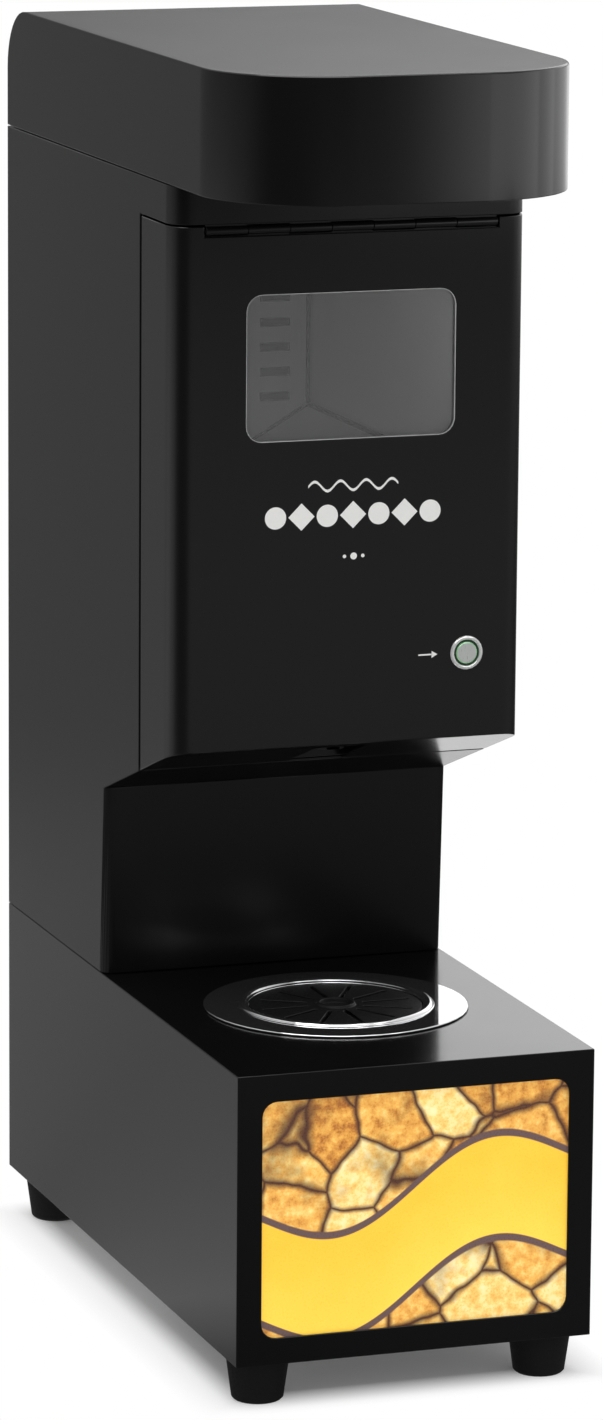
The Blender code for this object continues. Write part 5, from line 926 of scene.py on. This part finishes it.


# Near-black beads in the corners of the chamber, whose dark colour is painted shade in those corners, and the
# guard of its fan

BEAD_RADIUS = 1.5 * MM
BEAD_SIDE = 64.4 * MM
BEAD_BACK = 159.4 * MM
BEAD_FRONT = -87 * MM
BEAD_SHOULDER = 476.4 * MM
BEAD_FOOT = 437.6 * MM
BEAD_CEILING = 587.5 * MM
GUARD_WIRE = 0.7 * MM
GUARD_CENTRE = Vector((0, 159.3 * MM, 532 * MM))
GUARD_RINGS = (8 * MM, 15.5 * MM, 23 * MM)
GUARD_REACH = 28.5 * MM
GUARD_SPOKES = 4
GUARD_TURN = math.radians(45)
RING_POINTS = 48


def corner_shade_beads():
    """Near-black beads up the back corners, along the sides and down the slope of the back: painted shade
    where the chamber's walls meet.
    """
    lines = []
    for x in (-BEAD_SIDE, BEAD_SIDE):
        shoulder = (x, BEAD_BACK, BEAD_SHOULDER)
        lines.append(([shoulder, (x, BEAD_BACK, BEAD_CEILING)], False))
        lines.append(([(x, BEAD_FRONT, BEAD_SHOULDER), shoulder], False))
        lines.append(([shoulder, (0, BEAD_BACK, BEAD_FOOT)], False))
    wires("chamber_corner_shade_beads", lines, BEAD_RADIUS, SHADE_BEAD_BLACK, body_of_node("chamber_liner"))


def guard_point(radius, angle):
    return GUARD_CENTRE + Vector((radius * math.cos(angle), 0, radius * math.sin(angle)))


def fan_guard():
    """Wire rings before the chamber's fan, held by spokes."""
    lines = []
    for radius in GUARD_RINGS:
        ring = [guard_point(radius, math.tau * step / RING_POINTS) for step in range(RING_POINTS)]
        lines.append((ring, True))
    for number in range(GUARD_SPOKES):
        angle = GUARD_TURN + math.tau * number / GUARD_SPOKES
        lines.append(([guard_point(GUARD_RINGS[0], angle), guard_point(GUARD_REACH, angle)], False))
    wires("fan_guard", lines, GUARD_WIRE, ZINC, body_of_node("chamber_liner"))


# Pale lip at the cut edge of the sheet round the door's window, made pale as a painted highlight

OPENING_HALF = (59.0 * MM, 39.5 * MM)
OPENING_MIDDLE = 537.5 * MM
OPENING_CORNER = 9.0 * MM
CORNER_SEGMENTS = 8
LIP_THICK = 0.2 * MM
LIP_FRONT = -95.60 * MM
LIP_BACK = -94.30 * MM


def window_lip():
    """A narrow frame lining the window's opening, pale as a painted highlight on the sheet's cut edge."""
    bm = bmesh.new()
    bmesh.ops.create_grid(bm, x_segments=1, y_segments=1, size=1.0,
                          matrix=Matrix.Translation((0, LIP_BACK, OPENING_MIDDLE))
                          @ Matrix.Diagonal((OPENING_HALF[0], 1.0, OPENING_HALF[1], 1.0))
                          @ Matrix.Rotation(math.pi / 2, 4, "X"))
    bmesh.ops.bevel(bm, geom=list(bm.verts), offset=OPENING_CORNER, segments=CORNER_SEGMENTS, profile=0.5,
                    affect="VERTICES", material=-1)
    bm.faces.ensure_lookup_table()
    sheet = bm.faces[0]
    bmesh.ops.inset_region(bm, faces=[sheet], thickness=LIP_THICK, use_even_offset=True, use_boundary=True)
    bmesh.ops.delete(bm, geom=[sheet], context="FACES_ONLY")
    thicken(bm, list(bm.faces), (0, LIP_FRONT - LIP_BACK, 0))
    new_piece("window_glint_edge", bm, GLINT_EDGE_STEEL, "door")


# Marks on the rocker: a bar for on and a ring for off

MARK_PROUD = 0.06 * MM
MARK_THICK = 0.09 * MM
MARK_OFFSET = 4.6 * MM
BAR_WIDTH = 0.7 * MM
BAR_HEIGHT = 2.8 * MM
BAR_CELLS = (2, 6)
RING_RADIUS = 1.5 * MM
RING_WIDTH = 0.6 * MM
RING_STEPS = 32


def rocker_marks():
    """Both marks, laid on the rocker's curved face."""
    bm = bmesh.new()
    low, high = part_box("switch_rocker")
    centre = (low + high) / 2
    stand = Matrix.Rotation(math.pi / 2, 4, "X")
    place = Matrix.Translation((centre.x, 0, centre.z + MARK_OFFSET))
    bmesh.ops.create_grid(bm, x_segments=BAR_CELLS[0], y_segments=BAR_CELLS[1], size=0.5,
                          matrix=place @ Matrix.Diagonal((BAR_WIDTH, 1.0, BAR_HEIGHT, 1.0)) @ stand)
    bar = set(bm.verts)
    place = Matrix.Translation((centre.x, 0, centre.z - MARK_OFFSET))
    bmesh.ops.create_circle(bm, cap_ends=True, segments=RING_STEPS, radius=RING_RADIUS, matrix=place @ stand)
    disc = next(face for face in bm.faces if not set(face.verts) & bar)
    bmesh.ops.inset_individual(bm, faces=[disc], thickness=RING_WIDTH)
    bmesh.ops.delete(bm, geom=[disc], context="FACES")
    for vert in bm.verts:
        hit = surface_point("switch_rocker", (vert.co.x, BEHIND, vert.co.z), TO_FRONT)
        vert.co.y = hit.y - MARK_PROUD / 2
    face_along(bm.faces, 1)
    thicken(bm, list(bm.faces), (0, MARK_THICK, 0))
    new_piece("rocker_marks", bm, INK, body_of_node("switch_rocker"))


# Build

set_camera()
set_world()
make_floor()
set_lights()

# Finishes: the paints' numbers are roughness, depth of the peel, coat and the coat's roughness

LID_PAINT = powder_coat("lid_paint", (0.0034, 0.0034, 0.0036), 0.18, 0.006 * MM, 0.35, 0.11, swing=0.01)
BODY_PAINT = powder_coat("body_paint", (0.0032, 0.0032, 0.0034), 0.25, 0.005 * MM, 0.25, 0.20, swing=0.012)
DOOR_PAINT = powder_coat("door_paint", (0.0036, 0.0036, 0.0038), 0.22, 0.005 * MM, 0.35, 0.13, swing=0.012)
BASE_PAINT = powder_coat("base_paint", (0.0030, 0.0030, 0.0032), 0.16, 0.006 * MM, 0.35, 0.10, swing=0.02)
FRAME_PAINT = powder_coat("frame_paint", (0.0045, 0.0045, 0.0047), 0.30, 0.02 * MM, 0.3, 0.18)
STAINLESS = brushed_metal("chamber_stainless", (0.55, 0.55, 0.56), 0.32, (1.0, 1.0, 0.03))
SHEATH = brushed_metal("heater_sheath", (0.06, 0.055, 0.05), 0.5, (1.0, 1.0, 0.03))
POLISHED = polished_metal("polished_steel", (0.78, 0.78, 0.79), 0.05)
ZINC = zinc_plate("bright_zinc")
ALUMINIUM = cast_aluminium("cast_aluminium")
BLACK_PLASTIC = moulded_plastic("black_plastic", "black_plastic", (0.012, 0.012, 0.012), 0.5)
GRATE_PLASTIC = moulded_plastic("grate_plastic", "black_plastic", (0.006, 0.006, 0.006), 0.42,
                                grit=600.0, depth=0.02 * MM, specular=0.22)
GREY_PLASTIC = moulded_plastic("grey_plastic", "grey_plastic", (0.33, 0.34, 0.35), 0.5)
WHITE_PLASTIC = moulded_plastic("white_plastic", "white_plastic", (0.78, 0.78, 0.76), 0.45)
SILICONE = moulded_plastic("seal_silicone", "silicone", (0.22, 0.22, 0.23), 0.6, grit=500.0)
RUBBER = foot_rubber("foot_rubber")
PANE = smoked_pane("smoked_pane")
PICTURE = picture_print("picture_print")
BOARD = lacquered_board("control_lacquer", (0.015, 0.13, 0.05), (0.03, 0.24, 0.09))
GREEN = green_lens("ring_lens")
INK = white_ink("white_ink")
CAP_SATIN = lit_cap("lit_cap")
# The bezel's pale, half-metallic finish carries a painted sheen
BEZEL_SHEEN_CHROME = chrome_with_painted_sheen("chrome_with_painted_sheen")
LINER_STEEL = brushed_metal("liner_stainless", (0.85, 0.85, 0.85), 0.42, (1.0, 1.0, 0.03), metallic=0.35)
# Pale, barely metallic finish of the window's lip: a painted highlight
GLINT_EDGE_STEEL = brushed_metal("painted_glint_steel", (0.88, 0.88, 0.88), 0.35, (1.0, 0.2, 1.0), metallic=0.2)
# Near-black finish of the chamber's corner beads: painted shade in the corners
SHADE_BEAD_BLACK = moulded_plastic("corner_shade_bead", "silicone", (0.012, 0.012, 0.013), 0.6, grit=700.0)

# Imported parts, their finishes and the width of their soft edges

for node, finish, bevel in (
        ("body_shell", BODY_PAINT, 0.0004), ("base_shell", BASE_PAINT, 0.0005),
        ("top_cover", LID_PAINT, 0.0004),
        ("front_frame", FRAME_PAINT, 0.0003), ("rear_panel", FRAME_PAINT, 0.0003),
        ("top_cover_plate", FRAME_PAINT, 0.0003), ("hinge_fixed_leaf", FRAME_PAINT, 0.0002),
        ("hinge_door_leaf", FRAME_PAINT, 0.0002), ("hinge_pin", ZINC, 0.0),
        ("chamber_liner", LINER_STEEL, 0.0003), ("funnel_floor", LINER_STEEL, 0.0003),
        ("window_retainer", STAINLESS, 0.0002), ("shoe_guide", STAINLESS, 0.0003),
        ("drive_shaft", STAINLESS, 0.0003), ("heater_element", SHEATH, 0.0),
        ("heater_flange", SHEATH, 0.0003), ("base_floor", ZINC, 0.0003),
        ("strike_left", ZINC, 0.0002), ("strike_right", ZINC, 0.0002), ("button_nut", ZINC, 0.0003),
        ("button_spring", ZINC, 0.0), ("shoe_spring_upper", ZINC, 0.0), ("shoe_spring_lower", ZINC, 0.0),
        ("pump_gearbox", ZINC, 0.0005), ("pump_motor", BLACK_PLASTIC, 0.0004),
        ("button_contact_block", BLACK_PLASTIC, 0.0002), ("door_magnet_left", BLACK_PLASTIC, 0.0004),
        ("door_magnet_right", BLACK_PLASTIC, 0.0004), ("fan_frame", BLACK_PLASTIC, 0.0004),
        ("fan_impeller", BLACK_PLASTIC, 0.0002), ("power_inlet", BLACK_PLASTIC, 0.0003),
        ("switch_housing", BLACK_PLASTIC, 0.0003), ("switch_rocker", BLACK_PLASTIC, 0.0004),
        ("wire_loom", BLACK_PLASTIC, 0.0), ("drip_grate", GRATE_PLASTIC, 0.0003),
        ("pump_housing", GREY_PLASTIC, 0.0004), ("tube_guide", BLACK_PLASTIC, 0.0004),
        ("pump_roller_1", GREY_PLASTIC, 0.0004), ("pump_roller_2", GREY_PLASTIC, 0.0004),
        ("pump_roller_3", GREY_PLASTIC, 0.0004), ("pump_rotor", WHITE_PLASTIC, 0.0004),
        ("pump_shoe", WHITE_PLASTIC, 0.0004), ("sign_light_box", WHITE_PLASTIC, 0.0003),
        ("sign_led_board", WHITE_PLASTIC, 0.0002), ("chamber_seal", SILICONE, 0.0006),
        ("control_board", BOARD, 0.0002), ("power_supply", ALUMINIUM, 0.0005),
        ("thermostat_disc", ALUMINIUM, 0.0003), ("door_window", PANE, 0.0003),
        ("button_light_ring", GREEN, 0.0001), ("button_cap", CAP_SATIN, 0.0002),
        ("drip_bowl", POLISHED, 0.00045),
        ("foot_front_left", RUBBER, 0.0006), ("foot_front_right", RUBBER, 0.0006),
        ("foot_rear_left", RUBBER, 0.0006), ("foot_rear_right", RUBBER, 0.0006)):
    dress(node, finish, bevel)
dress("door_shell", DOOR_PAINT, 0.0004, trim=DOOR_EDGE)
paint("sign_panel", PICTURE)
print_on_door()
make_bezel()
window_lip()
corner_shade_beads()
fan_guard()
rocker_marks()

# Screws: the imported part, the places of the rays that find it, their way, radius, height and finish

for name, carrier, xs, ys, zs, way, radius, height, finish in (
        ("rear_panel_screws", "rear_panel", (-0.090, 0.090), (BEHIND,), (0.198, 0.410, 0.622),
         TO_FRONT, 3.2 * MM, 1.5 * MM, STAINLESS),
        ("underside_screws", "base_floor", (-0.088, 0.088), (-0.13, 0.0, 0.12), (BELOW,),
         UPWARD, 3.2 * MM, 1.6 * MM, ZINC),
        ("front_frame_screws", "front_frame", (-0.091, 0.091), (BEFORE,), (0.385, 0.590),
         TO_BACK, 3.0 * MM, 1.6 * MM, ZINC),
        ("pump_housing_screws", "pump_housing", (-0.057, 0.051), (BEFORE,), (0.371, 0.429),
         TO_BACK, 2.6 * MM, 1.6 * MM, ZINC),
        ("inlet_screws", "power_inlet", (-0.0705, -0.0295), (BEHIND,), (0.228,),
         TO_FRONT, 1.8 * MM, 0.28 * MM, STAINLESS)):
    screw_row(name, carrier, [(x, y, z) for x in xs for y in ys for z in zs], way, radius, height, finish)

bpy.context.scene.view_settings.view_transform = "Standard"
